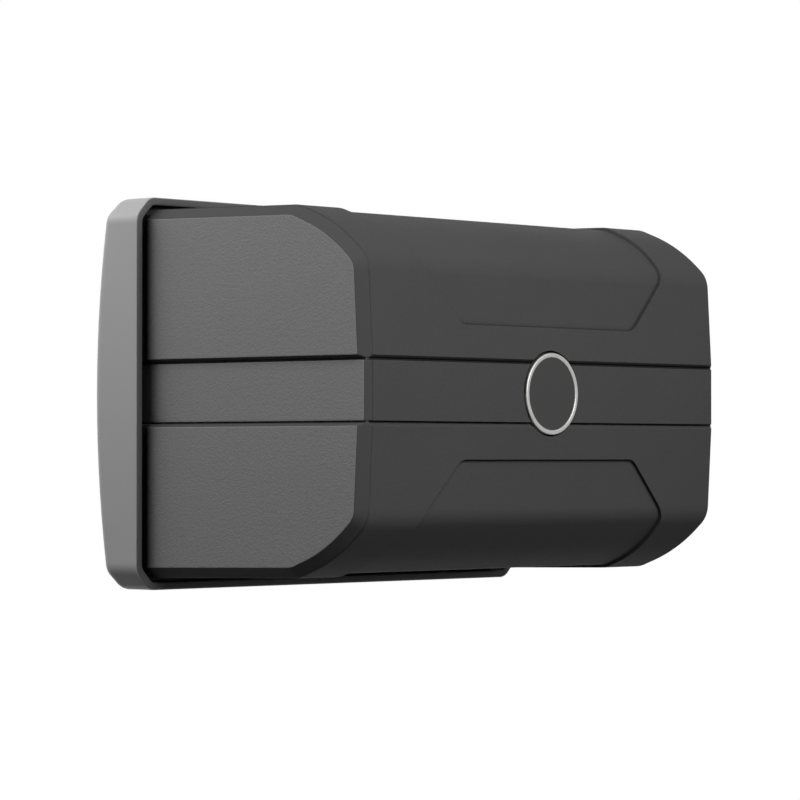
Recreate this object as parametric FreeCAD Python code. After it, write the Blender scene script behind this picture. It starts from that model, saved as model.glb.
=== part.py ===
import FreeCAD, Part
import math
import os

# Launch monitor for a golf simulator, of the kind that hangs from a ceiling bracket.
#
# Millimetres. +X runs to the unit's left-hand side seen from its window, +Z is up, and the sensor
# window faces +Y. The functions work in housing coordinates, with y = 0 on the rear face and
# z = 0 at the badge's centre; export() moves every piece so that the origin is the centre of the
# ceiling mount's bolt pattern, on its seat in the top.

# Running and assembly clearances
SLIP = 0.2                    # a moulded piece inside or against another
PIN_SLIP = 0.05               # a screw or pin in its own hole
RUNNING_FIT = 0.05            # the fan shaft in its bearing, on the radius
TIP_GAP = 0.7                 # fan blade tip to duct
BUTTON_GAP = 0.25             # power button in its guide hole, on the radius

# Housing: one outline of the rear, drawn as the upper half and mirrored
HALF_WIDTH = 170.0            # side faces
SIDE_CHAMFER = 6.4            # 45 degree band round each side cap
WALL = 4.0
SHELL_FRONT_Y = 189.0         # front edge, inside the bezel
REAR_EDGE_Z = 76.9            # where the leaning rear face would meet the shoulder
REAR_LEAN = 3.1               # how far the rear face has fallen back there
REAR_CORNER_R = 17.0
SHOULDER_Y = 26.5             # corner of the shoulder's two slopes
SHOULDER_Z = 98.4
SHOULDER_R = 110.0
TOP_BREAK_Y = 57.9            # the shoulder runs into the nearly level top
TOP_BREAK_Z = 110.2
TOP_BREAK_R = 20.0
TOP_DRAFT = 0.0185            # rise of the top per millimetre towards the window

# Belt between the two grooves that wrap the housing
BELT_HALF_HEIGHT = 17.6
GROOVE_FLOOR = 1.0            # flat floor of each groove
GROOVE_LIP = 2.0              # sloping wall of each groove, measured along z
SIDE_GROOVE_DEPTH = 4.0
REAR_GROOVE_DEPTH = 2.4
BELT_INSET = 2.8              # the belt's side faces lie below the side caps' faces

# Sunk panels that wrap from the rear on to the top and the bottom
PANEL_DEPTH = 2.0
PANEL_NEAR_Z = 40.3           # short edge
PANEL_NEAR_HALF = 83.0
PANEL_KNEE_Z = 74.0
PANEL_KNEE_HALF = 116.0
PANEL_FAR_HALF = 128.0
PANEL_CORNER_R = 10.0
PANEL_KNEE_R = 40.0

# Badge
BADGE_R = 25.0
BADGE_RING_WIDTH = 2.8
BADGE_SEAT_DEPTH = 2.0
BADGE_SEAT_GAP = 1.3
BADGE_RING_PROUD = 1.3
BADGE_DISC_PROUD = 0.5
BADGE_RING_EDGE = 0.8

# Bezel
BEZEL_OVER_SIDE = 10.5        # how far it stands out past the side caps
BEZEL_OVER_TOP = 7.4          # and past the top
BEZEL_BACK_Y = 177.2
BEZEL_NOSE = 25.6             # from the flange to the top of the crown
CROWN_R = 672.0
BEZEL_CUT_X = 11.5            # cut corners
BEZEL_CUT_Z = 11.5
BEZEL_CUT_R = 11.0
BEZEL_FRONT_R = 9.5
BEZEL_REAR_R = 1.0
BEZEL_RIM = 4.6
REBATE_Y = 179.0              # the side caps step in here, inside the bezel
REBATE = 3.0
FLANGE = 3.0                  # inner flange that the housing's front edge meets
FLANGE_HALF_X = 150.0
FLANGE_HALF_Z = 92.0

# Window and what holds it
WINDOW_BORDER_X = 20.5        # bezel left round the window
WINDOW_BORDER_Z = 18.8
WINDOW_CORNER_R = 12.0
WINDOW_THICK = 3.0
WINDOW_SUNK = 0.4
GASKET_THICK = 0.8
LEDGE_WIDTH = 6.0
LEDGE_THICK = 3.0

# Ceiling mount
MOUNT_Y = 118.0
MOUNT_SUNK = 0.9              # seat of the bosses, below the sunk panel beside the fans
MOUNT_SPACING_X = 100.0
MOUNT_SPACING_Y = 75.0
MOUNT_BOSS_R = 9.0
MOUNT_BOSS_LENGTH = 15.0
MOUNT_PAD_EDGE = 7.0          # flat pocket round the bolt pattern
MOUNT_PAD_WALL = 1.5
MOUNT_PAD_THICK = 3.0
MOUNT_PAD_R = 6.0
INSERT_R = 4.0
INSERT_BORE_R = 2.5           # M6 thread
INSERT_LENGTH = 10.0
INSERT_FLANGE_R = 5.2
INSERT_FLANGE = 0.8
MOUNT_RIB = 3.0

# Vents, fans and ports, which share one place on the sunk panels
BAY_X = 89.0
BAY_Y = 92.0
SLOT_LENGTH = 46.0
SLOT_WIDTH = 3.6
SLOT_PITCH = 8.0
SLOT_COUNT = 6
FAN_SIZE = 60.0
FAN_THICK = 15.0
FAN_BELOW_PANEL = 3.9         # bosses that a fan is screwed to, down from the sunk panel
FAN_HOLE_SPACING = 50.0
FAN_BLADE_R = 27.8
FAN_HUB_R = 12.0
FAN_SHAFT_R = 1.5
FAN_BLADES = 7
FAN_BLADE_THICK = 1.2
FAN_BLADE_RISE = 9.0
FAN_ROOT_PITCH = 48.0
FAN_TIP_PITCH = 30.0
FAN_STRUT = 3.0
FAN_BACK = 3.0                # thickness of the strut wheel

# Chassis and boards
CHASSIS_Y = 150.0
CHASSIS_THICK = 3.0
CHASSIS_HALF_X = 157.0
CHASSIS_HALF_Z = 101.0
CHASSIS_FLANGE = 12.0
CHASSIS_NOTCH = 2.0            # clearance round the ceiling mount's bosses
CABLE_SLOT_Z = 50.0           # slots that pass the wiring through the chassis
CABLE_SLOT_HALF = 20.0
CABLE_SLOT_HALF_WIDTH = 4.0
LUG_X = (70.0, 145.0)
LUG_Z = 97.0
LUG_THICK = 8.0
LUG_HALF_WIDTH = 7.0
BOARD_THICK = 1.6
STANDOFF = 12.4
STANDOFF_R = 3.2
MAIN_BOARD = (-150.0, 45.0, 72.0)       # x from, x to, half height
DRIVER_BOARD = (58.0, 148.0, 62.0)
BOARD_EDGE = 6.0                        # a standoff's distance from the board's edges
CHIP = 36.0
CHIP_THICK = 2.4
CHIP_X = -52.0
MEMORY_X = 15.0
MEMORY_WIDTH = 14.0
MEMORY_HEIGHT = 12.0
MEMORY_THICK = 1.2
MEMORY_PITCH = 24.0
MEMORY_COUNT = 4
SINK_SIZE = 90.0
SINK_BASE = 4.0
SINK_DEPTH = 26.0
SINK_FINS = 12
FIN_THICK = 1.6
CAPACITOR_R = 9.0
CAPACITOR_LENGTH = 30.0
CAPACITOR_PITCH_X = 28.0
CAPACITOR_PITCH_Z = 26.0

# Cameras and strobe lamps behind the window
CAMERA_X = 112.0
CAMERA_SIZE = 42.0
CAMERA_DEPTH = 22.0
BRACKET_THICK = 3.0
LENS_R = 16.5
LENS_LENGTH = 18.0
LENS_GRIP_R = 18.0
LENS_GLASS_R = 12.5
LENS_GLASS_SUNK = 2.0
LENS_GLASS_CROWN_R = 30.0
LAMP_X = 45.0
LAMP_HALF_X = 35.0
LAMP_HALF_Z = 74.0
LAMP_FRONT_Y = 187.6
LAMP_BASE = 4.0
LAMP_FINS = 6
LED_COLUMNS = 4
LED_ROWS = 7
LED_PITCH_X = 15.0
LED_PITCH_Z = 19.5
LED_R = 2.5
LED_HEIGHT = 2.6
BAFFLE_THICK = 2.0
BAFFLE_GAP = 2.0              # round a lens

# Ports and button on the top
PORT_BOARD_Z = 86.0
PORT_BOARD_HALF_X = 26.0
PORT_BOARD_HALF_Y = 25.0
PORT_POST_R = 3.0
PORT_SUNK = 0.2               # port faces, below the sunk panel
PORT_STEP = 12.0              # from the bay's centre to the jack, and to the inlet and the button
INLET_STEP_X = 10.0
JACK_X = BAY_X - PORT_STEP
JACK_WIDTH = 16.0
JACK_DEPTH = 15.0
JACK_MOUTH_WIDTH = 11.8
JACK_MOUTH_DEPTH = 7.2
JACK_CAVITY = 12.0
JACK_LATCH_WIDTH = 6.2
JACK_LATCH_DEPTH = 2.2
INLET_X = BAY_X + INLET_STEP_X
INLET_Y = BAY_Y - PORT_STEP
INLET_R = 5.6
INLET_BORE_R = 2.9
INLET_BORE = 9.5
INLET_PIN_R = 1.0
INLET_BODY = 12.0
INLET_COLLAR = 6.2            # round collar above the inlet's square body
BUTTON_X = INLET_X
BUTTON_Y = BAY_Y + PORT_STEP
BUTTON_R = 4.5
BUTTON_PROUD = 1.2            # above the sunk panel
BUTTON_SKIRT_R = 6.0
BUTTON_SKIRT = 1.2
BUTTON_STEM_R = 2.0
BUTTON_TRAVEL = 1.0
BUTTON_SPARE = 0.3            # left between stem and switch at full travel
SWITCH_SIZE = 8.0
SWITCH_DEPTH = 11.6           # top of the switch's body, below the button's face
SWITCH_PLUNGER = 2.0

# Screws
SCREW_R = 1.5
SCREW_HEAD_R = 2.8
SCREW_HEAD = 2.0
SCREW_LENGTH = 9.0
SCREW_BOSS_R = 4.5
CAP_TAB = 3.0
CAP_TAB_HALF = 7.0
CAP_BOSS = 8.0
CAP_FIXINGS = ((16.0, 50.0), (80.0, 96.0), (166.0, 96.0))   # y and z, repeated below
CAP_SPIGOT = 5.0
CAP_SPIGOT_THICK = 2.4
CAP_POCKET = 2.6
BEZEL_FIXING_X = (0.0, 120.0)
BEZEL_FIXING_DROP = 16.2      # below the bezel's top edge
BEZEL_BOSS_R = 5.6
BEZEL_BOSS = 22.0
FAR = 400.0                   # past every face, for cutting tools

CAP_X = HALF_WIDTH - SIDE_CHAMFER       # seam between the rear shell and a side cap
BEZEL_FRONT_Y = SHELL_FRONT_Y + FLANGE + BEZEL_NOSE
BEZEL_HALF_WIDTH = HALF_WIDTH + BEZEL_OVER_SIDE
BEZEL_HALF_HEIGHT = TOP_BREAK_Z + (BEZEL_BACK_Y - TOP_BREAK_Y) * TOP_DRAFT + BEZEL_OVER_TOP
BEZEL_FIXING_Z = BEZEL_HALF_HEIGHT - BEZEL_FIXING_DROP
WINDOW_HALF_X = BEZEL_HALF_WIDTH - WINDOW_BORDER_X
WINDOW_HALF_Z = BEZEL_HALF_HEIGHT - WINDOW_BORDER_Z
PANEL_Z = TOP_BREAK_Z + (BAY_Y - TOP_BREAK_Y) * TOP_DRAFT - PANEL_DEPTH    # sunk panel over the fans
MOUNT_Z = PANEL_Z - MOUNT_SUNK
MOUNT_BOSS_BOTTOM_Z = MOUNT_Z - MOUNT_BOSS_LENGTH
FAN_SEAT_Z = PANEL_Z - FAN_BELOW_PANEL
PORT_TOP_Z = PANEL_Z - PORT_SUNK
BUTTON_TOP_Z = PANEL_Z + BUTTON_PROUD
SWITCH_TOP_Z = BUTTON_TOP_Z - SWITCH_DEPTH
INLET_BODY_TOP_Z = PORT_TOP_Z - INLET_COLLAR
FLANGE_FRONT_Y = SHELL_FRONT_Y + FLANGE
CHASSIS_FRONT_Y = CHASSIS_Y + CHASSIS_THICK
BOARD_REAR_Y = CHASSIS_Y - STANDOFF - BOARD_THICK
PORT_DECK_Z = PORT_BOARD_Z + BOARD_THICK
UP = FreeCAD.Vector(0, 0, 1)
ACROSS = FreeCAD.Vector(1, 0, 0)
FORWARD = FreeCAD.Vector(0, 1, 0)


# ---------------------------------------------------------------- plain shapes

def vec(x, y, z):
    return FreeCAD.Vector(x, y, z)


def block(x0, x1, y0, y1, z0, z1):
    """A rectangular block between two corners."""
    return Part.makeBox(x1 - x0, y1 - y0, z1 - z0, vec(x0, y0, z0))


def rod(start, direction, radius, length):
    return Part.makeCylinder(radius, length, start, direction)


def ring(start, direction, outer, inner, length):
    return rod(start, direction, outer, length).cut(rod(start, direction, inner, length))


def fused(shapes):
    """Join shapes into one solid and drop the seams inside flat faces."""
    whole = shapes[0]
    if len(shapes) > 1:
        whole = whole.fuse(shapes[1:])
    return whole.removeSplitter()


def less(shape, tools):
    """Cut tools from a shape."""
    return shape.cut(tools if isinstance(tools, list) else [tools]).removeSplitter()


def group(shapes):
    """Separate solids that share one node, such as a set of screws."""
    return Part.makeCompound(shapes)


def flip_x(shape):
    return shape.mirror(vec(0, 0, 0), ACROSS)


def flip_z(shape):
    return shape.mirror(vec(0, 0, 0), UP)


def half_turn(shape):
    """Turn a shape half round the Y axis, from the top of the housing to its bottom."""
    turned = shape.copy()
    turned.rotate(vec(0, 0, 0), FORWARD, 180)
    return turned


def rounding_runs(points, radii):
    """Length that each corner's rounding takes of its two sides, limited by what they share."""
    count = len(points)
    runs = []
    for index, radius in enumerate(radii):
        back = points[index - 1] - points[index]
        ahead = points[(index + 1) % count] - points[index]
        runs.append(radius / math.tan(back.getAngle(ahead) / 2))
    for index in range(count):
        after = (index + 1) % count
        room = points[index].distanceToPoint(points[after]) * 0.98
        taken = runs[index] + runs[after]
        if taken > room:
            runs[index] *= room / taken
            runs[after] *= room / taken
    return runs


def outline(corners, place):
    """A closed wire through corners (u, v, radius); place() puts u and v into space."""
    points = [vec(u, v, 0) for u, v, _ in corners]
    edges = []
    ends = []
    runs = rounding_runs(points, [radius for _, _, radius in corners])
    for index, run in enumerate(runs):
        corner = points[index]
        back = (points[index - 1] - corner).normalize()
        ahead = (points[(index + 1) % len(points)] - corner).normalize()
        if run == 0:
            ends.append((corner, None, corner))
            continue
        half_angle = back.getAngle(ahead) / 2
        radius = run * math.tan(half_angle)
        inward = (back + ahead).normalize()
        middle = corner + inward * (radius / math.sin(half_angle) - radius)
        ends.append((corner + back * run, middle, corner + ahead * run))
    for index, (start, middle, end) in enumerate(ends):
        if middle is not None:
            arc = Part.Arc(place(start.x, start.y), place(middle.x, middle.y), place(end.x, end.y))
            edges.append(arc.toShape())
        following = ends[(index + 1) % len(ends)][0]
        if end.distanceToPoint(following) > 1e-6:
            edges.append(Part.makeLine(place(end.x, end.y), place(following.x, following.y)))
    return Part.Wire(edges)


def prism_x(corners, x0, x1):
    """Extrude an outline given in (y, z) along X."""
    face = Part.Face(outline(corners, lambda y, z: vec(x0, y, z)))
    return face.extrude(vec(x1 - x0, 0, 0))


def prism_y(corners, y0, y1):
    """Extrude an outline given in (x, z) along Y."""
    face = Part.Face(outline(corners, lambda x, z: vec(x, y0, z)))
    return face.extrude(vec(0, y1 - y0, 0))


def prism_z(corners, z0, z1):
    """Extrude an outline given in (x, y) along Z."""
    face = Part.Face(outline(corners, lambda x, y: vec(x, y, z0)))
    return face.extrude(vec(0, 0, z1 - z0))


def rectangle(half_u, half_v, radius=0.0, centre=(0.0, 0.0)):
    """Corners of a rectangle with rounded corners."""
    u, v = centre
    return [(u - half_u, v - half_v, radius), (u + half_u, v - half_v, radius),
            (u + half_u, v + half_v, radius), (u - half_u, v + half_v, radius)]


def screw(seat, direction, length=SCREW_LENGTH):
    """A pan-head screw whose head rests on seat and whose shank runs along direction."""
    head = rod(seat - direction * SCREW_HEAD, direction, SCREW_HEAD_R, SCREW_HEAD)
    return fused([head, rod(seat, direction, SCREW_R, length)])


def screw_hole(seat, direction, length=SCREW_LENGTH + 1):
    return rod(seat, direction, SCREW_R + PIN_SLIP, length)


def corners_of(half_u, half_v):
    return [(u, v) for u in (-half_u, half_u) for v in (-half_v, half_v)]


# ---------------------------------------------------------------- housing

def top_z(y):
    """Height of the housing's drafted top at depth y."""
    return TOP_BREAK_Z + (y - TOP_BREAK_Y) * TOP_DRAFT


def housing_face(inset=0.0, front_y=SHELL_FRONT_Y):
    """The housing's section across X, moved inward by inset."""
    belt_edge = BELT_HALF_HEIGHT + GROOVE_FLOOR + GROOVE_LIP
    upper = [(front_y, top_z(front_y), 0), (TOP_BREAK_Y, TOP_BREAK_Z, TOP_BREAK_R),
             (SHOULDER_Y, SHOULDER_Z, SHOULDER_R), (REAR_LEAN, REAR_EDGE_Z, REAR_CORNER_R),
             (0, belt_edge, 0)]
    lower = [(y, -z, radius) for y, z, radius in reversed(upper)]
    face = Part.Face(outline(upper + lower, lambda y, z: vec(0, y, z)))
    return face.makeOffset2D(-inset) if inset else face


def housing_bar(half_width, inset=0.0, front_y=SHELL_FRONT_Y):
    """The housing's section drawn out to both sides."""
    face = housing_face(inset, front_y)
    face.translate(vec(-half_width, 0, 0))
    return face.extrude(vec(2 * half_width, 0, 0))


def chamfered_bar():
    """The whole housing as one bar, with the chamfered bands lofted round its ends."""
    section = housing_face().OuterWire
    end = housing_face(SIDE_CHAMFER, SHELL_FRONT_Y + SIDE_CHAMFER).OuterWire
    section.translate(vec(CAP_X, 0, 0))
    end.translate(vec(HALF_WIDTH, 0, 0))
    band = Part.makeLoft([section, end], True, True)
    return fused([housing_bar(CAP_X), band, flip_x(band)])


def sunk_panel_tool():
    """What is cut from the upper half to sink the panel that wraps on to the top."""
    half = [(PANEL_NEAR_HALF, PANEL_NEAR_Z, PANEL_CORNER_R),
            (PANEL_KNEE_HALF, PANEL_KNEE_Z, PANEL_KNEE_R),
            (PANEL_FAR_HALF, TOP_BREAK_Z, 0), (PANEL_FAR_HALF, TOP_BREAK_Z + WALL * 3, 0)]
    other = [(-x, z, radius) for x, z, radius in reversed(half)]
    prism = prism_y(half + other, -WALL, SHELL_FRONT_Y + WALL)
    floor = housing_bar(HALF_WIDTH + WALL, PANEL_DEPTH, SHELL_FRONT_Y + 3 * WALL)
    return prism.cut(floor)


def groove_tools():
    """The grooves across the rear, and the sunk belt with its grooves along each side."""
    floor = BELT_HALF_HEIGHT
    top = floor + GROOVE_FLOOR
    over = 1.0
    rear_lip = top + GROOVE_LIP * (REAR_GROOVE_DEPTH + over) / REAR_GROOVE_DEPTH
    rear = [(-over, floor, 0), (REAR_GROOVE_DEPTH, floor, 0), (REAR_GROOVE_DEPTH, top, 0),
            (-over, rear_lip, 0)]
    rear_groove = prism_x(rear, -HALF_WIDTH - over, HALF_WIDTH + over)
    side_lip = top + GROOVE_LIP * (SIDE_GROOVE_DEPTH + over) / SIDE_GROOVE_DEPTH
    outside = HALF_WIDTH + over
    deep = HALF_WIDTH - SIDE_GROOVE_DEPTH
    belt = HALF_WIDTH - BELT_INSET
    half = [(belt, floor, 0), (deep, floor, 0), (deep, top, 0), (outside, side_lip, 0)]
    lower = [(x, -z, radius) for x, z, radius in reversed(half)]
    side_groove = prism_y(half + lower, -over, SHELL_FRONT_Y + over)
    return [rear_groove, flip_z(rear_groove), side_groove, flip_x(side_groove)]


def finished_bar():
    """The housing's outside with every visible feature, still solid."""
    panel = sunk_panel_tool()
    badge_seat = rod(vec(0, BADGE_SEAT_DEPTH, 0), -FORWARD, BADGE_R + BADGE_SEAT_GAP, FAR)
    return less(chamfered_bar(), [panel, flip_z(panel), badge_seat] + groove_tools())


def cap_fixings():
    return [(y, z) for y, z0 in CAP_FIXINGS for z in (z0, -z0)]


def bezel_fixings():
    return [(x, z) for x0 in BEZEL_FIXING_X for x in sorted({x0, -x0})
            for z in (BEZEL_FIXING_Z, -BEZEL_FIXING_Z)]


def chassis_fixings():
    return [(x, z) for x0 in LUG_X for x in (x0, -x0) for z in (LUG_Z, -LUG_Z)]


def mount_points():
    return corners_of(MOUNT_SPACING_X / 2, MOUNT_SPACING_Y / 2)


def fan_corners():
    return corners_of(FAN_HOLE_SPACING / 2, FAN_HOLE_SPACING / 2)


def vent_slots(x):
    """A row of slots through the top, centred on x."""
    first = BAY_Y - SLOT_PITCH * (SLOT_COUNT - 1) / 2
    slots = []
    for index in range(SLOT_COUNT):
        corners = rectangle(SLOT_LENGTH / 2, SLOT_WIDTH / 2, SLOT_WIDTH * 0.49,
                            (x, first + SLOT_PITCH * index))
        slots.append(prism_z(corners, FAN_SEAT_Z, FAR))
    return slots


def wall_reach(y):
    """A height inside the top wall at depth y, where a boss joins it."""
    return top_z(y) - (PANEL_DEPTH + WALL) / 2


def mount_pad(edge, radius, z):
    """A flat plate round the bolt pattern, from height z up."""
    corners = rectangle(MOUNT_SPACING_X / 2 + edge, MOUNT_SPACING_Y / 2 + edge, radius, (0, MOUNT_Y))
    return prism_z(corners, z, FAR)


def mount_bosses():
    """Four bosses for the ceiling bracket under a thickened pad, tied together by ribs."""
    half_x = MOUNT_SPACING_X / 2
    half_y = MOUNT_SPACING_Y / 2
    pad = mount_pad(MOUNT_PAD_EDGE + MOUNT_PAD_WALL, MOUNT_PAD_R, MOUNT_Z - MOUNT_PAD_THICK)
    pieces = [pad.common(housing_bar(FAR, PANEL_DEPTH + 0.5))]
    for x, y in mount_points():
        start = vec(x, MOUNT_Y + y, MOUNT_BOSS_BOTTOM_Z)
        pieces.append(rod(start, UP, MOUNT_BOSS_R, MOUNT_Z - MOUNT_BOSS_BOTTOM_Z))
    rib_bottom = MOUNT_BOSS_BOTTOM_Z + MOUNT_RIB
    for side in (-1, 1):
        y = MOUNT_Y + side * half_y
        x = side * half_x
        pieces.append(block(-half_x, half_x, y - MOUNT_RIB / 2, y + MOUNT_RIB / 2,
                            rib_bottom, wall_reach(y)))
        pieces.append(block(x - MOUNT_RIB / 2, x + MOUNT_RIB / 2, MOUNT_Y - half_y, MOUNT_Y + half_y,
                            rib_bottom, wall_reach(MOUNT_Y - half_y)))
    return pieces


def mount_holes():
    """The pocket that the bracket's plate sits in, and the bores for the inserts."""
    holes = [mount_pad(MOUNT_PAD_EDGE, MOUNT_PAD_R, MOUNT_Z)]
    for x, y in mount_points():
        seat = vec(x, MOUNT_Y + y, MOUNT_Z)
        holes.append(rod(seat, -UP, INSERT_R + PIN_SLIP, INSERT_LENGTH + 2))
        holes.append(rod(seat, -UP, INSERT_FLANGE_R + PIN_SLIP, INSERT_FLANGE))
    return holes


def fan_bosses(x):
    """Bosses under the top that one fan is screwed to, and their holes."""
    bosses, holes = [], []
    for u, v in fan_corners():
        seat = vec(x + u, BAY_Y + v, FAN_SEAT_Z)
        bosses.append(rod(seat, UP, SCREW_BOSS_R, wall_reach(seat.y) - FAN_SEAT_Z))
        holes.append(screw_hole(seat, UP, wall_reach(seat.y) - FAN_SEAT_Z))
    return bosses, holes


def port_posts():
    return [(BAY_X - PORT_BOARD_HALF_X + PORT_POST_R, BAY_Y + PORT_BOARD_HALF_Y - PORT_POST_R),
            (BAY_X + PORT_BOARD_HALF_X - PORT_POST_R, BAY_Y + PORT_BOARD_HALF_Y - PORT_POST_R),
            (BAY_X - PORT_BOARD_HALF_X + PORT_POST_R, BAY_Y - PORT_BOARD_HALF_Y + PORT_POST_R)]


def rear_shell(bar):
    """The moulding that wraps top, rear and bottom, with its bosses, tabs and lugs."""
    cavity = housing_bar(FAR, WALL, SHELL_FRONT_Y + 3 * WALL)
    shell = bar.cut(cavity).common(block(-CAP_X, CAP_X, -FAR, FAR, -FAR, FAR))
    added = mount_bosses()
    holes = mount_holes()
    tab_x = CAP_X - CAP_BOSS
    for y, z in cap_fixings():
        side = 1 if z > 0 else -1
        if abs(z) > REAR_EDGE_Z:
            low, high = sorted((z - side * CAP_TAB_HALF, side * wall_reach(y)))
            tab = block(tab_x - CAP_TAB, tab_x, y - CAP_TAB_HALF, y + CAP_TAB_HALF, low, high)
        else:
            tab = block(tab_x - CAP_TAB, tab_x, REAR_LEAN + WALL / 2, y + CAP_TAB_HALF,
                        z - CAP_TAB_HALF, z + CAP_TAB_HALF)
        hole = screw_hole(vec(tab_x - 2 * CAP_TAB, y, z), ACROSS)
        added += [tab, flip_x(tab)]
        holes += [hole, flip_x(hole)]
    for x, z in bezel_fixings():
        added.append(rod(vec(x, SHELL_FRONT_Y, z), -FORWARD, BEZEL_BOSS_R, BEZEL_BOSS))
        holes.append(screw_hole(vec(x, SHELL_FRONT_Y + FLANGE, z), -FORWARD, SCREW_LENGTH + FLANGE))
    for x, z in chassis_fixings():
        side = 1 if z > 0 else -1
        low, high = sorted((z - side * LUG_HALF_WIDTH, side * wall_reach(CHASSIS_Y - LUG_THICK)))
        added.append(block(x - LUG_HALF_WIDTH, x + LUG_HALF_WIDTH, CHASSIS_Y - LUG_THICK, CHASSIS_Y,
                           low, high))
        holes.append(screw_hole(vec(x, CHASSIS_Y + 1, z), -FORWARD, LUG_THICK + 2))
    bosses, boss_holes = fan_bosses(-BAY_X)
    added += bosses + [half_turn(boss) for boss in bosses]
    holes += boss_holes + [half_turn(hole) for hole in boss_holes]
    for x, y in port_posts():
        added.append(rod(vec(x, y, PORT_DECK_Z), UP, PORT_POST_R, wall_reach(y) - PORT_DECK_Z))
        holes.append(screw_hole(vec(x, y, PORT_DECK_Z), UP))
    holes += vent_slots(-BAY_X)
    holes += [half_turn(slot) for x in (-BAY_X, BAY_X) for slot in vent_slots(x)]
    holes.append(prism_z(rectangle(JACK_WIDTH / 2 + SLIP, JACK_DEPTH / 2 + SLIP, 0.5, (JACK_X, BAY_Y)),
                         FAN_SEAT_Z, FAR))
    holes.append(rod(vec(INLET_X, INLET_Y, FAN_SEAT_Z), UP, INLET_R + SLIP, FAR))
    holes.append(rod(vec(BUTTON_X, BUTTON_Y, FAN_SEAT_Z), UP, BUTTON_R + BUTTON_GAP, FAR))
    return less(fused([shell] + added), holes)


def side_cap(bar):
    """The cap at +X: chamfered plate, hollowed behind its two panels, with spigot and bosses."""
    plate = bar.common(block(CAP_X, FAR, -FAR, FAR, -FAR, FAR))
    pocket_face = housing_face(2 * SIDE_CHAMFER)
    pocket_face.translate(vec(CAP_X, 0, 0))
    pockets = pocket_face.extrude(vec(CAP_POCKET, 0, 0))
    belt = BELT_HALF_HEIGHT + GROOVE_FLOOR + GROOVE_LIP + WALL
    pockets = pockets.cut(block(-FAR, FAR, -FAR, FAR, -belt, belt))
    outer = housing_face(WALL + SLIP)
    inner = housing_face(WALL + SLIP + CAP_SPIGOT_THICK)
    spigot = outer.cut(inner)
    spigot.translate(vec(CAP_X, 0, 0))
    spigot = spigot.extrude(vec(-CAP_SPIGOT, 0, 0))
    bosses, holes = [], []
    for y, z in cap_fixings():
        start = vec(CAP_X + CAP_POCKET, y, z)
        bosses.append(rod(start, -ACROSS, SCREW_BOSS_R, CAP_BOSS + CAP_POCKET))
        holes.append(screw_hole(vec(CAP_X - CAP_BOSS - CAP_TAB, y, z), ACROSS))
    holes.append(block(HALF_WIDTH - REBATE, FAR, REBATE_Y, FAR, -FAR, FAR))
    return less(fused([less(plate, pockets), spigot] + bosses), holes)


# ---------------------------------------------------------------- badge

def badge_ring():
    """Raised ring with a softened outer edge, seated in the rear wall."""
    depth = BADGE_RING_PROUD + BADGE_SEAT_DEPTH
    body = ring(vec(0, -BADGE_RING_PROUD, 0), FORWARD, BADGE_R, BADGE_R - BADGE_RING_WIDTH, depth)
    lips = [edge for edge in body.Edges
            if edge.BoundBox.YMax < -BADGE_RING_PROUD + 1e-6 and len(edge.Vertexes) == 1]
    return body.makeFillet(BADGE_RING_EDGE, lips)


def badge_disc():
    """Plain flat disc inside the ring."""
    radius = BADGE_R - BADGE_RING_WIDTH - PIN_SLIP
    return rod(vec(0, -BADGE_DISC_PROUD, 0), FORWARD, radius, BADGE_DISC_PROUD + BADGE_SEAT_DEPTH)


# ---------------------------------------------------------------- bezel and window

def crown(depth, half_width=FAR):
    """A bar whose front follows the bezel's crowned front, depth below it."""
    centre_y = BEZEL_FRONT_Y - CROWN_R
    return rod(vec(-half_width, centre_y, 0), ACROSS, CROWN_R - depth, 2 * half_width)


def crowned_slab(corners, near, far):
    """A plate between two depths below the crown, with the given outline in (x, z)."""
    prism = prism_y(corners, FLANGE_FRONT_Y, BEZEL_FRONT_Y + 1)
    return prism.common(crown(near)).cut(crown(far))


def cut_corners(inset=0.0):
    """The bezel's outline with its cut corners, moved inward by inset."""
    x = BEZEL_HALF_WIDTH - inset
    z = BEZEL_HALF_HEIGHT - inset
    # an inward offset of a cut corner shortens its legs in proportion to the cut's slope
    slope = math.hypot(BEZEL_CUT_X, BEZEL_CUT_Z)
    cut_x = BEZEL_CUT_X - inset * (BEZEL_CUT_X + BEZEL_CUT_Z - slope) / BEZEL_CUT_Z
    cut_z = BEZEL_CUT_Z - inset * (BEZEL_CUT_X + BEZEL_CUT_Z - slope) / BEZEL_CUT_X
    radius = max(BEZEL_CUT_R - inset, 1.0)
    corners = []
    for side_x, side_z in ((1, -1), (1, 1), (-1, 1), (-1, -1)):
        pair = [(side_x * (x - cut_x), side_z * z, radius), (side_x * x, side_z * (z - cut_z), radius)]
        corners += pair if side_x * side_z < 0 else pair[::-1]
    return corners


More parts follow.
